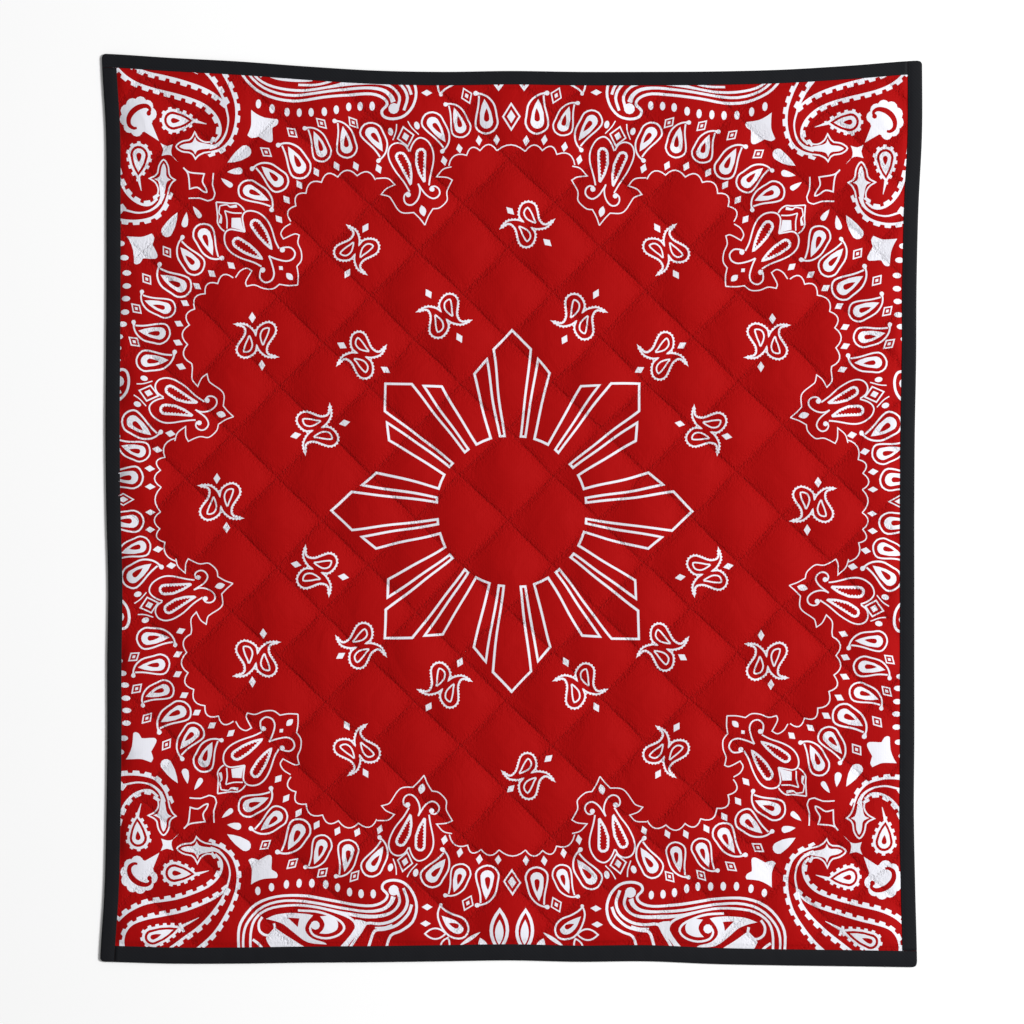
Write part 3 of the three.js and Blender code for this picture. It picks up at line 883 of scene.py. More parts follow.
def cornerCartouche():
    half = cartoucheSide("corner")
    half += drawnLine(smooth([101, 94 + 4.3j, 87.8 + 10.6j], 3), 1.3)
    half += drawnLine(smooth([107.6, 103.6 + 5.6j, 100 + 6.4j, 96 + 12j], 3), [1.2] * 6 + [1.6, 2.2, 2.7, 3])
    half += drawnLine(smooth([112.6, 102.6 + 8.6j, 98 + 13.6j, 92.4 + 15j, 87.6 + 14.4j], 3), 1.4)
    shapes = bothSides(half)
    shapes.append((np.array([91.5, 85.4 + 6.6j, 79 + 2.5j, 74.4, 79 - 2.5j, 85.4 - 6.6j]), white))
    shapes += drawnLine([86 + 7.4j, 93.6, 86 - 7.4j], 1.2, ink=red)
    shapes.append((pointedOval(11.4, 4.4, 2.8), white))
    shapes.append((diamond(22.7, 2.6, 2.2), white))
    return shapes


def placed(shapes, tip, degrees, size=1):
    return [(tip + polar(degrees, 1) * (size * outline), ink) for outline, ink in shapes]


for tip, degrees, size, quarters in cartouchePlan["beside"]:
    layAllRound(placed(besideCartouche(), tip, degrees, size), quarters=quarters)
layAllRound(drawnLine(cartouchePlan["sideJoin"], cartouchePlan["frameLine"]), quarters=leftRight)
layAllRound(placed(cornerCartouche(), cartouchePlan["cornerTip"], 45), ownMirror=True)
print("cartouches drawn")

# The corners: two hooked paisleys face each other across the corner's own line, with drops,
# stars and a curled flower between them

cornerPlan = {
    "bandLine": 2.4,
    "plainLine": 1.5,
    "toothPitch": 11.6,
    "toothLength": 7.6,
    "toothHeight": 3.0,
    "outerBand": [342.8 + 300.6j, 346 + 291.6j, 351.6 + 284j, 359.4 + 278.6j, 372 + 275.4j, 385 + 275.6j,
                  396.4 + 278.4j, 409.3 + 283.8j, 425 + 293.6j, 436.6 + 304j, 446.6 + 316j, 455 + 327j],
    "stem": [348 + 302j, 349.4 + 296.4j, 353 + 290.8j, 359.4 + 286.2j, 366.3 + 283.8j, 375 + 283.2j,
             388 + 286.4j],
    "stemWidths": ([0, 5, 12, 18], [4.6, 2.8, 1.5, 2]),
    "innerBand": [353.4 + 297j, 359.4 + 291.8j, 366.3 + 290.8j, 374.2 + 293.4j, 381.3 + 298.8j,
                  387.8 + 307.6j, 393 + 321.4j, 396.6 + 335.8j, 399.2 + 350j, 402 + 364.5j, 406 + 376j,
                  411.5 + 386j, 419 + 394.5j],
    "ringUpper": [389.2 + 287j, 398 + 298.4j, 404.3 + 312.8j, 409.3 + 330j, 413 + 347.2j, 416 + 364.5j,
                  421 + 378.8j, 429.4 + 386.7j, 440 + 389.6j, 452 + 388j],
    "ringLower": [390.7 + 287j, 402 + 292.7j, 415 + 302.8j, 426.5 + 315.7j, 436.6 + 330j, 446 + 343j,
                  454 + 352j],
    "knot": 389 + 287.6j,
    "trefoil": [[354.1 + 297.7j, 352.9 + 305.6j, 356.5 + 312.1j], [362.7 + 315.7j, 357.2 + 318.4j],
                [354.4 + 321.4j, 352.6 + 329.3j, 347.9 + 334.9j, 343.4 + 329.3j],
                [342.2 + 321.4j, 340.2 + 318j], [335.9 + 315.5j, 339.4 + 312.3j],
                [342.2 + 307.1j, 343.4 + 301j]],
    "trefoilHeart": [[349.5 + 291.5j, 351 + 302j], [352.4 + 310.5j, 354 + 313.8j],
                     [357.9 + 315.3j, 352.8 + 317.6j],
                     [351.2 + 320.4j, 350.4 + 326.5j, 347.9 + 331.4j, 345.5 + 326.5j],
                     [345.2 + 320.4j, 344 + 317.6j], [340.2 + 315.5j, 344 + 313.6j],
                     [345.6 + 309.4j, 346.9 + 301j]],
    # The toothed drops: head, tip, radius, end of the stem and number of teeth
    "toothed": [(372.3 + 338j, 373.6 + 315j, 11.2, 370 + 304j, 12),
                (434.4 + 360j, 424.5 + 330j, 10.2, 416.5 + 314j, 13)],
    "toothedBar": [421 + 332.5j, 430 + 329j],
    # The plain ones: head, tip and radius
    "drops": [(266.8 + 344.6j, 283.4 + 332.8j, 5.8), (273 + 326.2j, 283.9 + 323.7j, 3.4),
              (281 + 311.4j, 290.3 + 317.2j, 2.7)],
    "bigStar": [[359.3 + 253.7j, 355.3 + 246.3j, 354.2 + 242.4j, 356.5 + 240j, 365.4 + 240.4j],
                [368.4 + 240.1j, 371.1 + 235.6j, 374.6 + 234.2j],
                [376.6 + 235.4j, 377.6 + 247.7j, 380.9 + 256j],
                [384 + 260.8j, 372.8 + 260.3j, 367.1 + 261j], [359.6 + 264.2j, 357.4 + 260.4j]],
    "lineStar": [[327.6 + 327.6j, 321.4 + 323j],
                 [307 + 321.5j, 308.6 + 314j, 305 + 308j, 303.8 + 303.8j, 308 + 305j, 314 + 308.6j],
                 [321.5 + 307j, 323 + 321.4j]],
    "bracket": [322.5 + 297.8j, 311 + 298.2j, 302.6 + 295.4j, 297.2 + 297.2j],
    "smallStar": [[332.8 + 332.8j, 338.5 + 338.6j, 344 + 340j], [350.2 + 338.4j, 348.4 + 344.6j],
                  [350.8 + 350.8j, 344.6 + 348.4j], [338.4 + 350.2j, 340 + 344j, 338.6 + 338.5j]],
    "flower": 372.8 + 374.3j,
    "flowerRadius": 15.3,
    "petalRadius": 6.2,
    "petalTurns": range(-84, 170, 36),
    "flowerTail": [-14 - 6j, -20.7 - 21.7j, -5 - 13j, 0],
    "flowerSwirl": [1.3 - 10.7j, 4.8 - 11j, 9 - 8j, 9.7 - 2j, 6.5 + 4j, 0.5 + 8.6j, -7 + 10.2j, -11.5 + 7.5j,
                    -10.5 + 3.5j],
    "swirlWidths": [2.2, 3, 4, 4.8, 5.4, 5.2, 4, 3, 3],
}


def toothedLine(points, side, tooth=1.0):
    line = smooth(points, 3)
    shapes = drawnLine(line, cornerPlan["bandLine"] * tooth, mitreLimit=1.4)
    run = line if side > 0 else line[::-1]
    offset = evenly(run, cornerPlan["toothPitch"] * tooth)
    way = np.gradient(offset)
    base = offset + 1j * way / np.abs(way) * cornerPlan["bandLine"] * tooth * 0.4
    return shapes + teeth(base, cornerPlan["toothPitch"] * tooth, cornerPlan["toothLength"] * tooth,
                          cornerPlan["toothHeight"] * tooth)


# White, red, white and red teardrops one in another, with teeth round them and a thin stem
def toothedDrop(head, tip, radius, stem, teethRound):
    run = tip - head
    shapes = [(teardrop(head, tip, radius, 14), white)]
    rim = teardrop(head, tip, radius - 0.4, 14)[::-1]
    pitch = np.abs(np.diff(np.append(rim, rim[0]))).sum() / teethRound
    shapes += teeth(rim, pitch, pitch * 0.55, 2.2, closed=True)
    shapes.append((teardrop(head, head + run * 0.86, radius - 2.5, 12), red))
    shapes.append((teardrop(head, head + run * 0.7, radius - 5, 10), white))
    shapes.append((teardrop(head + run * 0.02, head + run * 0.3, 2.6, 7), red))
    return shapes + drawnLine([head + run * 0.9, stem], [3.4, 0.5])


def hookedPaisley():
    shapes = toothedLine(cornerPlan["outerBand"], -1)
    stem = smooth(cornerPlan["stem"], 3)
    shapes += drawnLine(stem, np.interp(np.arange(len(stem)), *cornerPlan["stemWidths"]))
    shapes += toothedLine(cornerPlan["innerBand"], 1)
    shapes += toothedLine(cornerPlan["ringUpper"], 1)
    shapes += toothedLine(cornerPlan["ringLower"], -1)
    shapes.append((circle(cornerPlan["knot"], 3.6, 8), white))
    shapes += drawnLine(cornered(cornerPlan["trefoil"], 3, False), cornerPlan["plainLine"], mitreLimit=1.8)
    shapes.append((cornered(cornerPlan["trefoilHeart"], 2), white))
    for drop in cornerPlan["toothed"]:
        shapes += toothedDrop(*drop)
    return shapes + drawnLine(cornerPlan["toothedBar"], 2.6)


def plainDrops():
    shapes = [(teardrop(head, tip, radius, 8, 0.06), white) for head, tip, radius in cornerPlan["drops"]]
    return shapes + [(cornered(cornerPlan["bigStar"], 2), white)]


# The star and its bracket on the corner's own line, and the little star beyond
def starsOnLine():
    shapes = drawnLine(cornered(cornerPlan["lineStar"], 3), 1.4, True, mitreLimit=1.5)
    half = smooth(cornerPlan["bracket"], 2)
    shapes += drawnLine(np.concatenate([half, (1j * np.conj(half))[::-1][1:]]), 1.3)
    shapes.append((cornered(cornerPlan["smallStar"], 2), white))
    return shapes


def curledFlower():
    centre = cornerPlan["flower"]
    shapes = [(circle(centre, cornerPlan["flowerRadius"], 20), white)]
    for degrees in cornerPlan["petalTurns"]:
        shapes.append((circle(centre + polar(degrees, 12.8), cornerPlan["petalRadius"], 12), white))
    shapes.append((centre + np.array(cornerPlan["flowerTail"]), white))
    swirl = centre + smooth(cornerPlan["flowerSwirl"], 3)
    widths = cornerPlan["swirlWidths"]
    shapes += drawnLine(swirl, np.interp(np.arange(len(swirl)) / 3, np.arange(len(widths)), widths), ink=red)
    shapes.append((circle(swirl[-1], 2.5, 8), red))
    return shapes


layAllRound(hookedPaisley())
layAllRound(plainDrops())
layAllRound(starsOnLine(), ownMirror=True)
for turn, mirrored in ((1, False), (-1, True), (1, True), (-1, False)):
    layShapes(curledFlower(), printPlan["centre"], printPlan["unit"] * turn, mirrored)
print("corners drawn")

# The edges: a long lens with a curled end, a row of dots inwards of it, and petals with a spray
# of leaves on the middle line

edgePlan = {
    "outer": [456 + 273.6j, 431.4 + 274.4j, 417.5 + 269.4j, 403.6 + 256.1j, 396 + 235.7j, 395.3 + 213.5j,
              399.6 + 187.6j, 403.6 + 161.7j, 405.3 + 141j, 401.8 + 129j, 395.5 + 124.9j, 389.2 + 130.2j,
              383.3 + 128.1j, 380.9 + 119j, 383.7 + 107.6j, 393.5 + 98.9j, 407.3 + 95.7j, 422.1 + 100.2j,
              431 + 111.8j, 436 + 122j, 452 + 127j],
    "second": [456 + 269.4j, 433.2 + 269.4j, 418.8 + 263.5j, 405.9 + 248.7j, 400.3 + 226.5j, 402.7 + 200.6j,
               407.7 + 172.8j, 410.9 + 147j, 409.6 + 130.3j, 404 + 121.8j, 397.5 + 118.8j],
    "secondWidths": ([0, 21, 28, 30], [2.3, 2.6, 4.4, 5.0]),
    "tail": [391.6 + 114.6j, 402.7 + 112.6j, 412 + 119.6j, 416 + 132j, 415.9 + 150.6j, 413 + 169.1j,
             409.4 + 184j],
    "tailWidths": ([0, 6, 12, 18], [3.0, 2.4, 4.0, 1.6]),
    "eye": [456 + 262j, 433.2 + 262.4j, 418.4 + 257.9j, 409.2 + 245j, 405.5 + 224.6j, 406.4 + 202.4j,
            411 + 180.2j, 417.6 + 163.6j, 425.8 + 157.4j, 436 + 160j, 446.2 + 169.1j, 456 + 181j],
    "curl": [410.8 + 214j, 411.6 + 197j, 415.1 + 183.9j, 421.2 + 172.4j, 428.6 + 168.8j, 435.4 + 174.7j,
             438.6 + 186.7j, 435.8 + 198.5j, 429 + 202.6j, 422.6 + 199.6j],
    "half": [[416.4 + 192.6j, 415.9 + 183j, 421 + 175.4j, 429.5 + 175.8j, 433.6 + 183.9j],
             [433.6 + 193.2j, 429.5 + 189.6j, 424.8 + 188j, 420.8 + 189.2j]],
    "wave": [[418.6 + 247j, 414.8 + 236j, 413.6 + 221j, 414.2 + 206j],
             [415.4 + 199.5j, 423.1 + 205.6j, 431 + 207.4j, 438.8 + 200.6j, 442.6 + 189j],
             [445 + 186j, 443 + 204.3j, 434.4 + 217.2j, 425.4 + 228.3j, 421 + 238j]],
    "hole": [[418.4 + 224.6j, 418.6 + 218j], [419 + 212.8j, 423 + 214j], [427.8 + 214.8j, 423 + 219.6j]],
    "scroll": [423.5 + 238.6j, 431 + 238j, 435 + 245.5j, 430.5 + 253j, 422.6 + 254.2j, 416.6 + 250.6j],
    "wedge": [[427.6 + 238j, 436 + 226j, 445 + 212j, 454 + 200j], [454 + 236j, 444 + 244j],
              [437.8 + 247j, 433.6 + 244j]],
    "under": [438.4 + 260.2j, 444 + 253.4j, 453.6 + 246.6j],
    "longFeather": [389 + 108.2j, 401.8 + 104.6j, 412.9 + 109.4j, 421.2 + 121j, 424 + 134j, 423.4 + 146.6j,
                    431.6 + 152j, 444.3 + 160.2j, 455 + 166.6j],
    "feather": [405 + 100.6j, 414.7 + 104.6j, 425 + 115.5j, 429.5 + 128.4j, 431.2 + 138j, 441 + 142j,
                455 + 146j],
    "shortFeather": [424.8 + 120.6j, 427.4 + 128.4j, 428 + 138j],
    "band": [[419.4 + 158.5j, 421.8 + 147.6j, 429.6 + 151.6j], [441 + 160.6j, 455 + 172j],
             [455 + 180j, 441 + 167j, 428.6 + 158.6j]],
    "ball": 391.2 + 118.4j,
    "curlBall": 425.4 + 197.4j,
    "dots": [390.1 + 253.8j, 386.1 + 240.2j, 383.5 + 225.4j, 383.3 + 212.6j, 384 + 200.2j, 385 + 187j,
             387.5 + 175.2j, 391.4 + 162.8j, 393 + 151.4j, 393.8 + 139.5j],
    "sideDiamonds": [407.1 + 85j, 423.4 + 86.5j],
    "petal": 431.4 + 12.8j,
    "spray": [[406.5 + 71.3j, 410.9 + 66.8j, 415.4 + 59.1j, 418.7 + 50.7j, 424.3 + 45.2j, 431.5 + 43.5j,
               437.6 + 46.8j, 439.5 + 53.5j, 437 + 62.4j, 429.3 + 69.1j, 420.4 + 73j, 413.7 + 74j,
               408.7 + 72.6j]],
    "sprayHeart": [[415.9 + 70.1j, 419.8 + 60.1j, 423.9 + 53.5j, 429.8 + 48.5j, 433.9 + 50.7j, 434.6 + 55.7j,
                    431.5 + 61.3j, 425.4 + 66.3j]],
    # Leaves with two points: the middle, half the length, half the width and the turn
    "lineLeaves": [(433.9 + 76.6j, 10.4, 5.6, 1j), (446 + 67j, 8, 4.2, polar(20, 1))],
    "fullLeaves": [(440 + 42j, 12.8, 1.9, polar(58, 1)), (447 + 29j, 8.5, 4.4, polar(-20, 1))],
}


def edgeLine(name, width, mitreLimit=2.2):
    return drawnLine(smooth(edgePlan[name], 3), width, mitreLimit=mitreLimit)


def edgeLens():
    shapes = edgeLine("outer", 2.6, 1.5)
    for name in ("second", "tail"):
        line = smooth(edgePlan[name], 3)
        shapes += drawnLine(line, np.interp(np.arange(len(line)), *edgePlan[name + "Widths"]))
    shapes.append((circle(edgePlan["ball"], 5.4, 10), white))
    shapes += edgeLine("eye", 2.4, 1.5) + edgeLine("curl", 2.2, 1.5)
    for name, steps, ink in (("half", 3, white), ("wave", 3, white), ("hole", 2, red)):
        shapes.append((cornered(edgePlan[name], steps), ink))
    shapes.append((circle(edgePlan["curlBall"], 4.6, 9), white))
    shapes += edgeLine("scroll", 2.4)
    shapes.append((cornered(edgePlan["wedge"], 3), white))
    shapes += edgeLine("under", 2.6) + edgeLine("longFeather", 2.8, 1.5) + edgeLine("feather", 2.8, 1.5)
    shapes += edgeLine("shortFeather", 1.6, 1.5)
    return shapes + [(cornered(edgePlan["band"], 2), white)]


def edgeRow():
    shapes = [(oval(dot, 4.4, 2.7), white) for dot in edgePlan["dots"]]
    shapes += [(diamond(place, 3.2, 5.6), white) for place in edgePlan["sideDiamonds"]]
    return shapes


def edgeMiddle():
    shapes = drawnLine(pointedOval(edgePlan["petal"], 20.5, 8), 3.2, True, mitreLimit=1.6)
    shapes.append((pointedOval(edgePlan["petal"] + 2, 13, 4.2), white))
    shapes += drawnLine(cornered(edgePlan["spray"], 2), 1.8, True, mitreLimit=1.6)
    shapes.append((cornered(edgePlan["sprayHeart"], 2), white))
    shapes.append((teardrop(427 + 55.8j, 423.5 + 63.2j, 2.5, 7), red))
    shapes.append((circle(405.6 + 70.9j, 1.9, 7), white))
    for leaf in edgePlan["lineLeaves"]:
        shapes += drawnLine(pointedOval(*leaf), 1.7, True, mitreLimit=1.5)
    return shapes + [(pointedOval(*leaf), white) for leaf in edgePlan["fullLeaves"]]


for shapes in (edgeLens(), edgeRow(), edgeMiddle()):
    layAllRound(shapes)
print("print drawn:", len(printed), "shapes")


# Meshes

def linked(name, data):
    piece = bpy.data.objects.new(name, data)
    bpy.context.scene.collection.objects.link(piece)
    return piece


# A smooth piece from its points in millimetres
def newPiece(name, points, faces, materials):
    mesh = bpy.data.meshes.new(name)
    mesh.from_pydata((points * toMetres).tolist(), [], faces)
    for material in materials:
        mesh.materials.append(material)
    mesh.polygons.foreach_set("use_smooth", np.ones(len(faces), bool))
    mesh.update()
    return linked(name, mesh)


# The quilted cloth, with the print cut into its mesh

clothMesh = {
    # Where lines of points cross a diamond, closest beside its falling and rising seams
    "acrossFalling": [0, 0.012, 0.035, 0.08, 0.16, 0.28, 0.42, 0.58, 0.72, 0.84, 0.92, 0.965, 0.988],
    "acrossRising": [0, 0.03, 0.09, 0.18, 0.3, 0.43, 0.57, 0.7, 0.82, 0.91, 0.97],
    "acrossUnder": [0, 0.06, 0.14, 0.5, 0.86, 0.94],
    "clear": 23.0,              # how far inside the binding these points begin
    "clearUnder": 12.0,
    "inset": 1.8,               # of the cloth's edge from the fold of the binding
    "hidden": 14.0,             # how far from the fold the print ends, unseen
    "depths": [0.3, 3.0, 5.0, 6.5, 8.0, 13.0, 20.0],    # lines where the cloth curves to the binding
    "linePitch": 9.0,
    "depthsUnder": [0.3, 6],
    "pitchUnder": 25.0,
    "normalStep": 0.6,          # over which the slope is measured
    "rimBand": 0.03,            # share of the baked map's width for the underside and the rim
}


def between(lines, shares):
    return (lines[:-1, None] * (1 - np.array(shares)) + lines[1:, None] * shares).ravel()


# Points that follow the diamonds, and the links that keep an edge of the mesh on each seam
def latticePoints(rowShares, columnShares, clear):
    rows, columns = between(fallingLines, rowShares), between(risingLines, columnShares)
    grid = seamCrossing(rows[:, None], columns[None, :])
    onFalling = np.arange(len(rows)) % len(rowShares) == 0
    onRising = np.arange(len(columns)) % len(columnShares) == 0
    onSeam = onFalling[:, None] | onRising[None, :]
    depth = depthInField(grid)
    kept = (depth > clear) | (onSeam & (depth > 1.0))
    index = np.full(grid.shape, -1)
    index[kept] = np.arange(kept.sum())
    links = []
    for run in list(index[onFalling]) + list(index[:, onRising].T):
        links += [(int(a), int(b)) for a, b in zip(run, run[1:]) if a >= 0 and b >= 0]
    return grid[kept], links


# Which places lie inside an outline
def inside(outline, places):
    start, end = outline[:, None], np.roll(outline, -1)[:, None]
    x, y = places.real[None], places.imag[None]
    spans = (start.imag > y) != (end.imag > y)
    rise = np.where(np.abs(end.imag - start.imag) < 1e-12, 1e-12, end.imag - start.imag)
    left = x < start.real + (end.real - start.real) * (y - start.imag) / rise
    return np.count_nonzero(spans & left, axis=0) % 2 == 1


# Triangles between the points, lines and outlines, with the number of the topmost outline
# that holds each. The first outline is the edge, and what lies outside it is left away.
def cutCloth(points, links, outlines):
    places, links = list(points), list(links)
    for outline in outlines:
        first, count = len(places), len(outline)
        links += [(first + k, first + (k + 1) % count) for k in range(count)]
        places += list(outline)
    found = delaunay_2d_cdt([Vector((z.real, z.imag)) for z in places], links, [], 0, 1e-3, False)
    corners = np.array([complex(v.x, v.y) for v in found[0]])
    triangles = np.array(found[2])
    middles = corners[triangles].mean(axis=1)
    order = np.argsort(middles.real)
    sortedX = middles.real[order]
    top = np.where(inside(outlines[0], middles), 0, -1)
    for k, outline in enumerate(outlines[1:], 1):
        first, last = np.searchsorted(sortedX, [outline.real.min(), outline.real.max()])
        near = order[first:last]
        height = middles[near].imag
        near = near[(height > outline.imag.min()) & (height < outline.imag.max()) & (top[near] >= 0)]
        if len(near):
            top[near[inside(outline, middles[near])]] = k
    return corners, triangles[top >= 0], top[top >= 0]


# Whether a printed shape reaches the face that shows, or a little way under the binding
def onFace(outline):
    return depthInField(outline).max() > -6


# What would pass the cloth's edge is drawn back under the binding
def keptInside(outline):
    for side in edges:
        back = np.maximum(clothMesh["hidden"] - insetFrom(side, outline), 0) * edges[side]["facing"]
        outline = outline - (1j * back if edges[side]["alongX"] else back)
    return outline


# The corners round the edge of the triangles, in order
def boundaryLoop(triangles):
    sides = np.concatenate([triangles[:, [0, 1]], triangles[:, [1, 2]], triangles[:, [2, 0]]])
    known = {(int(a), int(b)) for a, b in sides}
    following = {a: b for a, b in known if (b, a) not in known}
    loop = [min(following)]
    while following[loop[-1]] != loop[0]:
        loop.append(following[loop[-1]])
    return loop


# The cloth's edge, in the fold of the binding, with its four corners rounded
def roundedEdge():
    line = insideLine(clothMesh["inset"], 18, fromBinding=False)
    radius = quilt["cornerRadius"] - clothMesh["inset"]
    turned = np.abs(np.angle((np.roll(line, -1) - line) / (line - np.roll(line, 1)))) > 0.5
    rounded = []
    for k in range(len(line)):
        if not turned[k]:
            rounded.append(line[k])
            continue
        before, after = line[k - 1] - line[k], line[(k + 1) % len(line)] - line[k]
        first, last = line[k] + before / abs(before) * radius, line[k] + after / abs(after) * radius
        centre = first + last - line[k]
        for step in range(5):
            bent = (first + (last - first) * step / 4) - centre
            rounded.append(centre + bent / abs(bent) * radius)
    return np.array(rounded)


def slopes(height, place):
    step = clothMesh["normalStep"]
    across = (height(place + step) - height(place - step)) / (2 * step)
    up = (height(place + 1j * step) - height(place - 1j * step)) / (2 * step)
    return across, up


def quiltedPanel():
    edge = roundedEdge()
    grid, links = latticePoints(clothMesh["acrossFalling"], clothMesh["acrossRising"], clothMesh["clear"])
    lines = [insideLine(depth, clothMesh["linePitch"]) for depth in clothMesh["depths"]]
    onCloth = [(outline, ink) for outline, ink in printed if onFace(outline)]
    outlines = [edge] + [keptInside(outline) for outline, ink in onCloth]
    place, triangles, top = cutCloth(np.concatenate([grid] + lines), links, outlines)
    ink = np.array([red] + [ink for outline, ink in onCloth])[top]
    print("face:", len(triangles), "triangles")

    loop = boundaryLoop(triangles)
    grid, links = latticePoints(clothMesh["acrossUnder"], clothMesh["acrossUnder"], clothMesh["clearUnder"])
    lines = [insideLine(depth, clothMesh["pitchUnder"]) for depth in clothMesh["depthsUnder"]]
    backPlace, backTriangles, _ = cutCloth(np.concatenate([grid] + lines), links, [place[loop]])
    print("back:", len(backTriangles), "triangles")

    faceCount = len(place)
    moved = np.concatenate([wandered(place), wandered(backPlace)]) + shift
    height = np.concatenate([faceHeight(place), underHeight(backPlace)])
    nearest = {(round(z.real, 3), round(z.imag, 3)): k for k, z in enumerate(backPlace)}
    below = [faceCount + nearest[(round(place[k].real, 3), round(place[k].imag, 3))] for k in loop]

    points = np.stack([moved.real, moved.imag, height], axis=1)
    faces = [tuple(map(int, t)) for t in triangles]
    faces += [tuple(int(faceCount + k) for k in reversed(t)) for t in backTriangles]
    for k in range(len(loop)):
        following = (k + 1) % len(loop)
        faces.append((loop[k], below[k], below[following], loop[following]))
    panel = newPiece("quiltedPanelCloth", points, faces, [redGround, whiteInk])
    mesh = panel.data
    slots = np.zeros(len(faces), np.int32)
    slots[:len(ink)] = ink
    mesh.polygons.foreach_set("material_index", slots)

    # The face fills the baked map, and the back and the rim share a narrow band of it
    uv = mesh.uv_layers.new(name="OFBake")
    corner = np.zeros(len(mesh.loops), np.int32)
    mesh.loops.foreach_get("vertex_index", corner)
    low, high = points.min(axis=0), points.max(axis=0)
    share = (points[corner, :2] - low[:2]) / (high[:2] - low[:2])
    faceCorners, rimBand = 3 * len(triangles), clothMesh["rimBand"]
    share[:faceCorners, 0] *= 1 - 1.2 * rimBand
    share[faceCorners:, 0] = 1 - rimBand + share[faceCorners:, 0] * rimBand * 0.98
    uv.data.foreach_set("uv", share.astype(np.float32).ravel())

    gathered = mesh.attributes.new("gathered", "FLOAT", "POINT")
    away = np.min(fromSeams(np.concatenate([place, backPlace])), axis=0)
    gathered.data.foreach_set("value", np.exp(-away / relief["gathered"]).astype(np.float32))

    across, up = slopes(faceHeight, place)
    backAcross, backUp = slopes(underHeight, backPlace)
    normals = np.concatenate([np.stack([-across, -up, np.ones(faceCount)], axis=1),
                              np.stack([backAcross, backUp, -np.ones(len(backPlace))], axis=1)])
    normals[loop + below] = 0
    normals /= np.maximum(np.linalg.norm(normals, axis=1, keepdims=True), 1e-9)
    mesh.update()
    mesh.normals_split_custom_set_from_vertices(normals.tolist())
    return panel


panel = quiltedPanel()
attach(panel, "root")
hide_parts("quilted_panel")
print("quilted cloth made")


# The binding: a strip folded over each edge, closed over one corner and met at the other

binding = {
    "thickness": 6.0,           # of the folded strip, from the underside to its top
    "strip": 1.2,               # of the strip's own cloth
    "foldWall": 1.5,            # and where it is folded
    "clearance": 0.3,           # from the strip that a strip's end meets
    "stationPitch": 7.0,
    "endStations": [0.0, 0.25, 0.8, 1.6, 2.4, 3.0, 4.2],    # closer where the end is rounded off
    "hem": 0.5,                 # roundness of the turned-in long edges
    "puff": 0.35,               # how far the strip stands up between its stitching and its fold
    "ripple": 0.22,
    "stitchInset": 3.2,
    "stitchSink": 0.35,         # how far the stitching presses the strip down
    "strips": [("top", "left", "right"), ("left", "bottom", "top"),
               ("bottom", "right", "left"), ("right", "top", "bottom")],
}


# The strip's section as inset and height, from the lower long edge round the fold to the upper
# one, and back along the hollow
def stripSection(width):
    thick, strip, wall, hem = binding["thickness"], binding["strip"], binding["foldWall"], binding["hem"]
    half = thick / 2
    lower = [(width - hem, 0.0), (width * 0.66, 0.0), (width * 0.33, 0.0), (half + 1.5, 0.0)]
    fold = [(half - half * math.cos(math.radians(turn)), half - half * math.sin(math.radians(turn)))
            for turn in (75, 45, 15, -15, -45, -75)]
    upper = [(half + 1.5, thick), (width * 0.33, thick), (width * 0.62, thick),
             (width - binding["stitchInset"] - 2, thick),
             (width - binding["stitchInset"], thick - binding["stitchSink"]),
             (width - hem * 2, thick), (width - 0.1, thick - hem * 0.8)]
    inside = [(width - 0.1, thick - strip), (width * 0.5, thick - strip), (wall + 1.5, thick - strip),
              (wall, half), (wall + 1.5, strip), (width * 0.5, strip), (width - 0.1, strip)]
    outerCount = len(lower) + len(fold) + len(upper)
    return np.array(lower + fold + upper + inside), outerCount


# A strip that starts rounded off over one neighbour's corner and ends where it meets the other
def bindingStrip(side, closedOver, meets):
    width = edges[side]["band"]
    section, outerCount = stripSection(width)
    inset, height = section[:, 0], section[:, 1]
    start = cornerAlong(side, inset, closedOver, np.zeros(len(inset)))
    end = cornerAlong(side, inset, meets, np.full(len(inset), edges[meets]["band"] + binding["clearance"]))
    radius = quilt["cornerRadius"]
    inRound = np.clip(radius - inset, 0, radius)
    inward = np.sign(end - start)
    start = start + inward * (radius - np.sqrt(radius**2 - inRound**2))
    length = abs(end[0] - start[0])
    half = binding["thickness"] / 2
    count = round((length - 8) / binding["stationPitch"])
    run = np.concatenate([binding["endStations"], np.linspace(8, length, count)])
    isOuter = np.arange(len(height)) < outerCount
    upperSide = (height > half) & isOuter
    hump = np.clip((inset - half) * (width - binding["stitchInset"] - inset), 0, None) / (width / 2) ** 2
    rings = []
    for place in run:
        along = start + (end - start) * place / length
        closing = math.sqrt(max(0.0, 1 - (1 - min(place, half) / half) ** 2))
        openness = np.clip((place - 1.6) / 1.4, 0, 1)
        z = half + (height - half) * np.where(isOuter, closing, openness * closing)
        ripple = np.sin(place / 9.0 + 2.1 * np.sin(place / 47.0)) * np.sin(place / 23.0 + 1.0)
        lift = (binding["puff"] * (1 + 0.4 * math.sin(place / 61.0)) + binding["ripple"] * ripple) * hump * 2
        z = z + np.where(upperSide, np.maximum(lift, 0) * min(1.0, place / 12), 0)
        flat = edgePoint(side, along, inset) + shift
        rings.append(np.stack([flat.real, flat.imag, z], axis=1))
    size = len(inset)
    faces = []
    for k in range(len(run) - 1):
        for i in range(size):
            j = (i + 1) % size
            faces.append((k * size + i, k * size + j, (k + 1) * size + j, (k + 1) * size + i))
    faces.append(tuple(reversed(range(size))))
    faces.append(tuple((len(run) - 1) * size + i for i in range(size)))
    strip = newPiece("bindingStrip_" + side, np.concatenate(rings), faces, [blackBinding])
    turnOutward(strip.data)
    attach(strip, "root")
    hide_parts("binding_" + side)
    return strip


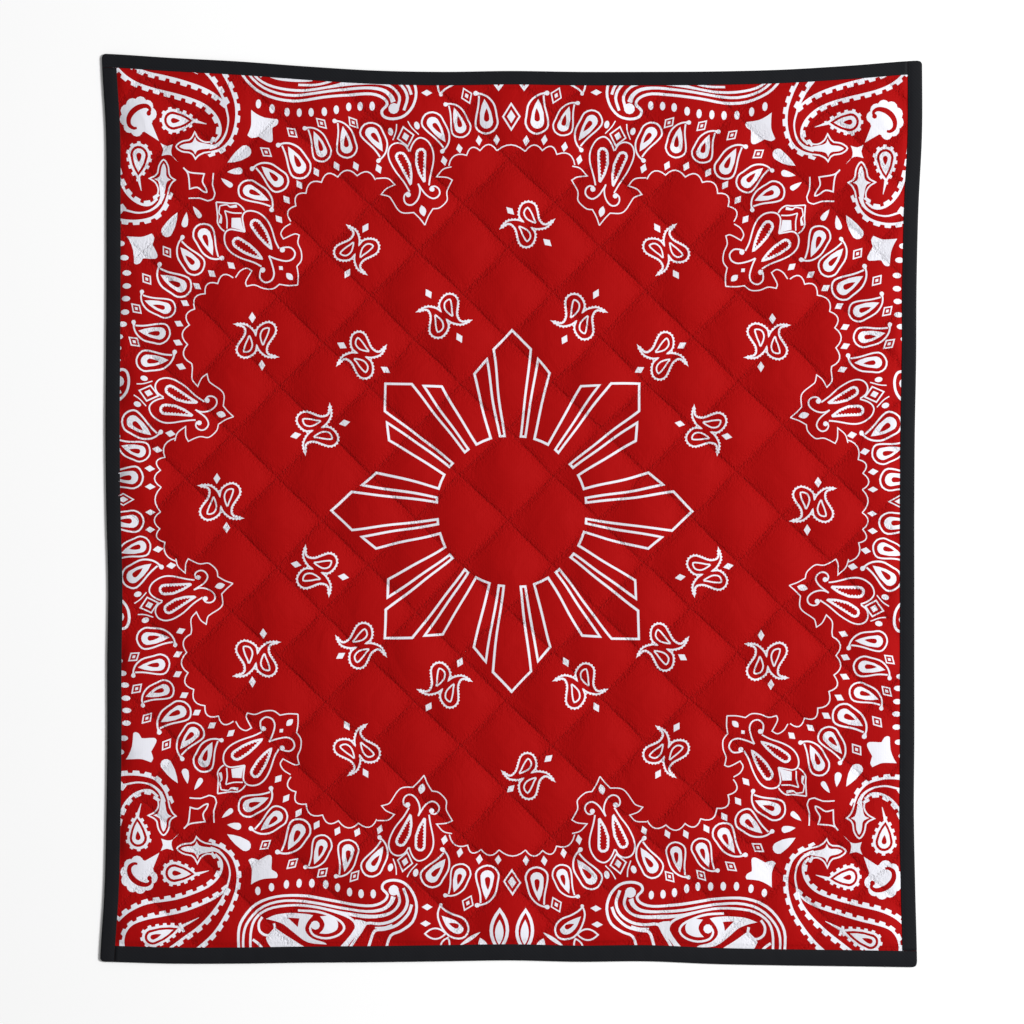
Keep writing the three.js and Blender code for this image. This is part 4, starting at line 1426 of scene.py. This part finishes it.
# Turns a closed mesh's faces to point out
def turnOutward(mesh):
    mesh.calc_loop_triangles()
    points = np.array([v.co for v in mesh.vertices])
    t = np.array([tri.vertices for tri in mesh.loop_triangles])
    a, b, c = points[t[:, 0]], points[t[:, 1]], points[t[:, 2]]
    if np.einsum("ij,ij->i", a, np.cross(b, c)).sum() < 0:
        mesh.flip_normals()


strips = [bindingStrip(*names) for names in binding["strips"]]
print("binding made")


# Stitches: one small spindle for each that shows, lying on the cloth

stitching = {
    "quilt": {"pitch": 4.6, "length": 3.1, "thread": 0.55, "raised": 0.15},
    "binding": {"pitch": 3.4, "length": 2.3, "thread": 0.5, "raised": 0.12},
}


def stitchMesh(name, places, ways, heights, kind, material):
    length, thread = stitching[kind]["length"], stitching[kind]["thread"]
    heights = heights + stitching[kind]["raised"]
    along, over = ways * length / 2, 1j * ways * thread / 2
    lift = thread * 0.35
    ends = [(places - along, heights - thread * 0.3), (places + along, heights - thread * 0.3),
            (places - over, heights + lift * 0.3), (places + over, heights + lift * 0.3),
            (places, heights + lift + thread * 0.2), (places, heights - thread * 0.5)]
    points = np.stack([np.stack([(z + shift).real, (z + shift).imag, h], axis=1) for z, h in ends], axis=1)
    spindle = [(0, 2, 4), (2, 1, 4), (1, 3, 4), (3, 0, 4), (2, 0, 5), (1, 2, 5), (3, 1, 5), (0, 3, 5)]
    faces = (np.array(spindle)[None] + 6 * np.arange(len(places))[:, None, None]).reshape(-1, 3)
    stitches = newPiece(name, points.reshape(-1, 3), faces.tolist(), [material])
    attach(stitches, "root")
    return stitches


def quiltingStitches():
    places, ways = [], []
    for lines, others, falls in ((fallingLines, risingLines, True), (risingLines, fallingLines, False)):
        span = np.arange(others[0], others[-1], stitching["quilt"]["pitch"])
        for value in lines:
            line = seamCrossing(value, span) if falls else seamCrossing(span, value)
            line = line[depthInField(line) > 3]
            if len(line) > 1:
                moved = wandered(line)
                way = np.gradient(moved)
                places.append(line)
                ways.append(way / np.abs(way))
    place, way = np.concatenate(places), np.concatenate(ways)
    return stitchMesh("quiltingStitches", wandered(place), way, faceHeight(place), "quilt", redThread)


def bindingStitches():
    places, ways = [], []
    for side, closedOver, meets in binding["strips"]:
        inset = np.array([edges[side]["band"] - binding["stitchInset"]])
        first = float(cornerAlong(side, inset, closedOver, np.array([0.0]))[0])
        last = float(cornerAlong(side, inset, meets, np.array([edges[meets]["band"] + 2.0]))[0])
        inward = np.sign(last - first)
        along = np.arange(first + 6 * inward, last, stitching["binding"]["pitch"] * inward)
        line = edgePoint(side, along, inset[0])
        way = np.gradient(line)
        places.append(line)
        ways.append(way / np.abs(way))
    place, way = np.concatenate(places), np.concatenate(ways)
    height = np.full(len(place), binding["thickness"] - binding["stitchSink"])
    return stitchMesh("bindingStitches", place, way, height, "binding", blackThread)


quilting = quiltingStitches()
topStitching = bindingStitches()
print("stitches made")


# Floor, light and camera

studio = {
    "floor": "#ffffff",
    "floorSize": 14.0,
    "floorDrop": 0.0006,
    "lightTurn": 9.0,           # degrees from the quilt's right towards its top
    "lightRise": 44.0,          # and above the floor
    "lightDistance": 14.0,
    "lightSize": 4.5,
    "lightPower": 2165.0,
    "fill": 0.3,
    "cameraAim": 2.2 - 2.9j,    # millimetres from the middle of the plain rectangle
    "cameraHeight": 9.0,        # metres above the cloth
    "clothTop": 0.008,
    "seenWidth": 2.2528,        # metres across the picture
    "sensor": 36.0,
}

# Matt white paint on a smooth board
floorMaterial, _, floorShader = newMaterial("palePaintedFloor")
setShader(floorShader, {"Base Color": linear(studio["floor"]), "Roughness": 0.9, "Specular IOR Level": 0.1})
size, drop = studio["floorSize"], studio["floorDrop"]
floorCorners = [(x * size, y * size, -drop) for x, y in ((-1, -1), (1, -1), (1, 1), (-1, 1))]
floorMesh = bpy.data.meshes.new("floor")
floorMesh.from_pydata(floorCorners, [], [(0, 1, 2, 3)])
floorMesh.materials.append(floorMaterial)
floor = linked("floor", floorMesh)

world = bpy.data.worlds.new("studio")
world.use_nodes = True
world.node_tree.nodes["Background"].inputs["Color"].default_value = (1, 1, 1, 1)
world.node_tree.nodes["Background"].inputs["Strength"].default_value = studio["fill"]
bpy.context.scene.world = world

turn, rise = math.radians(studio["lightTurn"]), math.radians(studio["lightRise"])
toLight = Vector((math.cos(rise) * math.cos(turn), math.cos(rise) * math.sin(turn), math.sin(rise)))
lamp = bpy.data.lights.new("softbox", "AREA")
lamp.shape = "DISK"
lamp.size = studio["lightSize"]
lamp.energy = studio["lightPower"]
softbox = linked("softbox", lamp)
softbox.location = toLight * studio["lightDistance"]
softbox.rotation_euler = toLight.to_track_quat("Z", "Y").to_euler()

view = bpy.data.cameras.new("camera")
view.sensor_width = studio["sensor"]
view.lens = studio["sensor"] * studio["cameraHeight"] / studio["seenWidth"]
camera = linked("camera", view)
aim = (studio["cameraAim"] + shift) * toMetres
camera.location = (aim.real, aim.imag, studio["cameraHeight"] + studio["clothTop"])
bpy.context.scene.camera = camera
bpy.context.scene.view_settings.view_transform = "Standard"
print("floor, light and camera set")
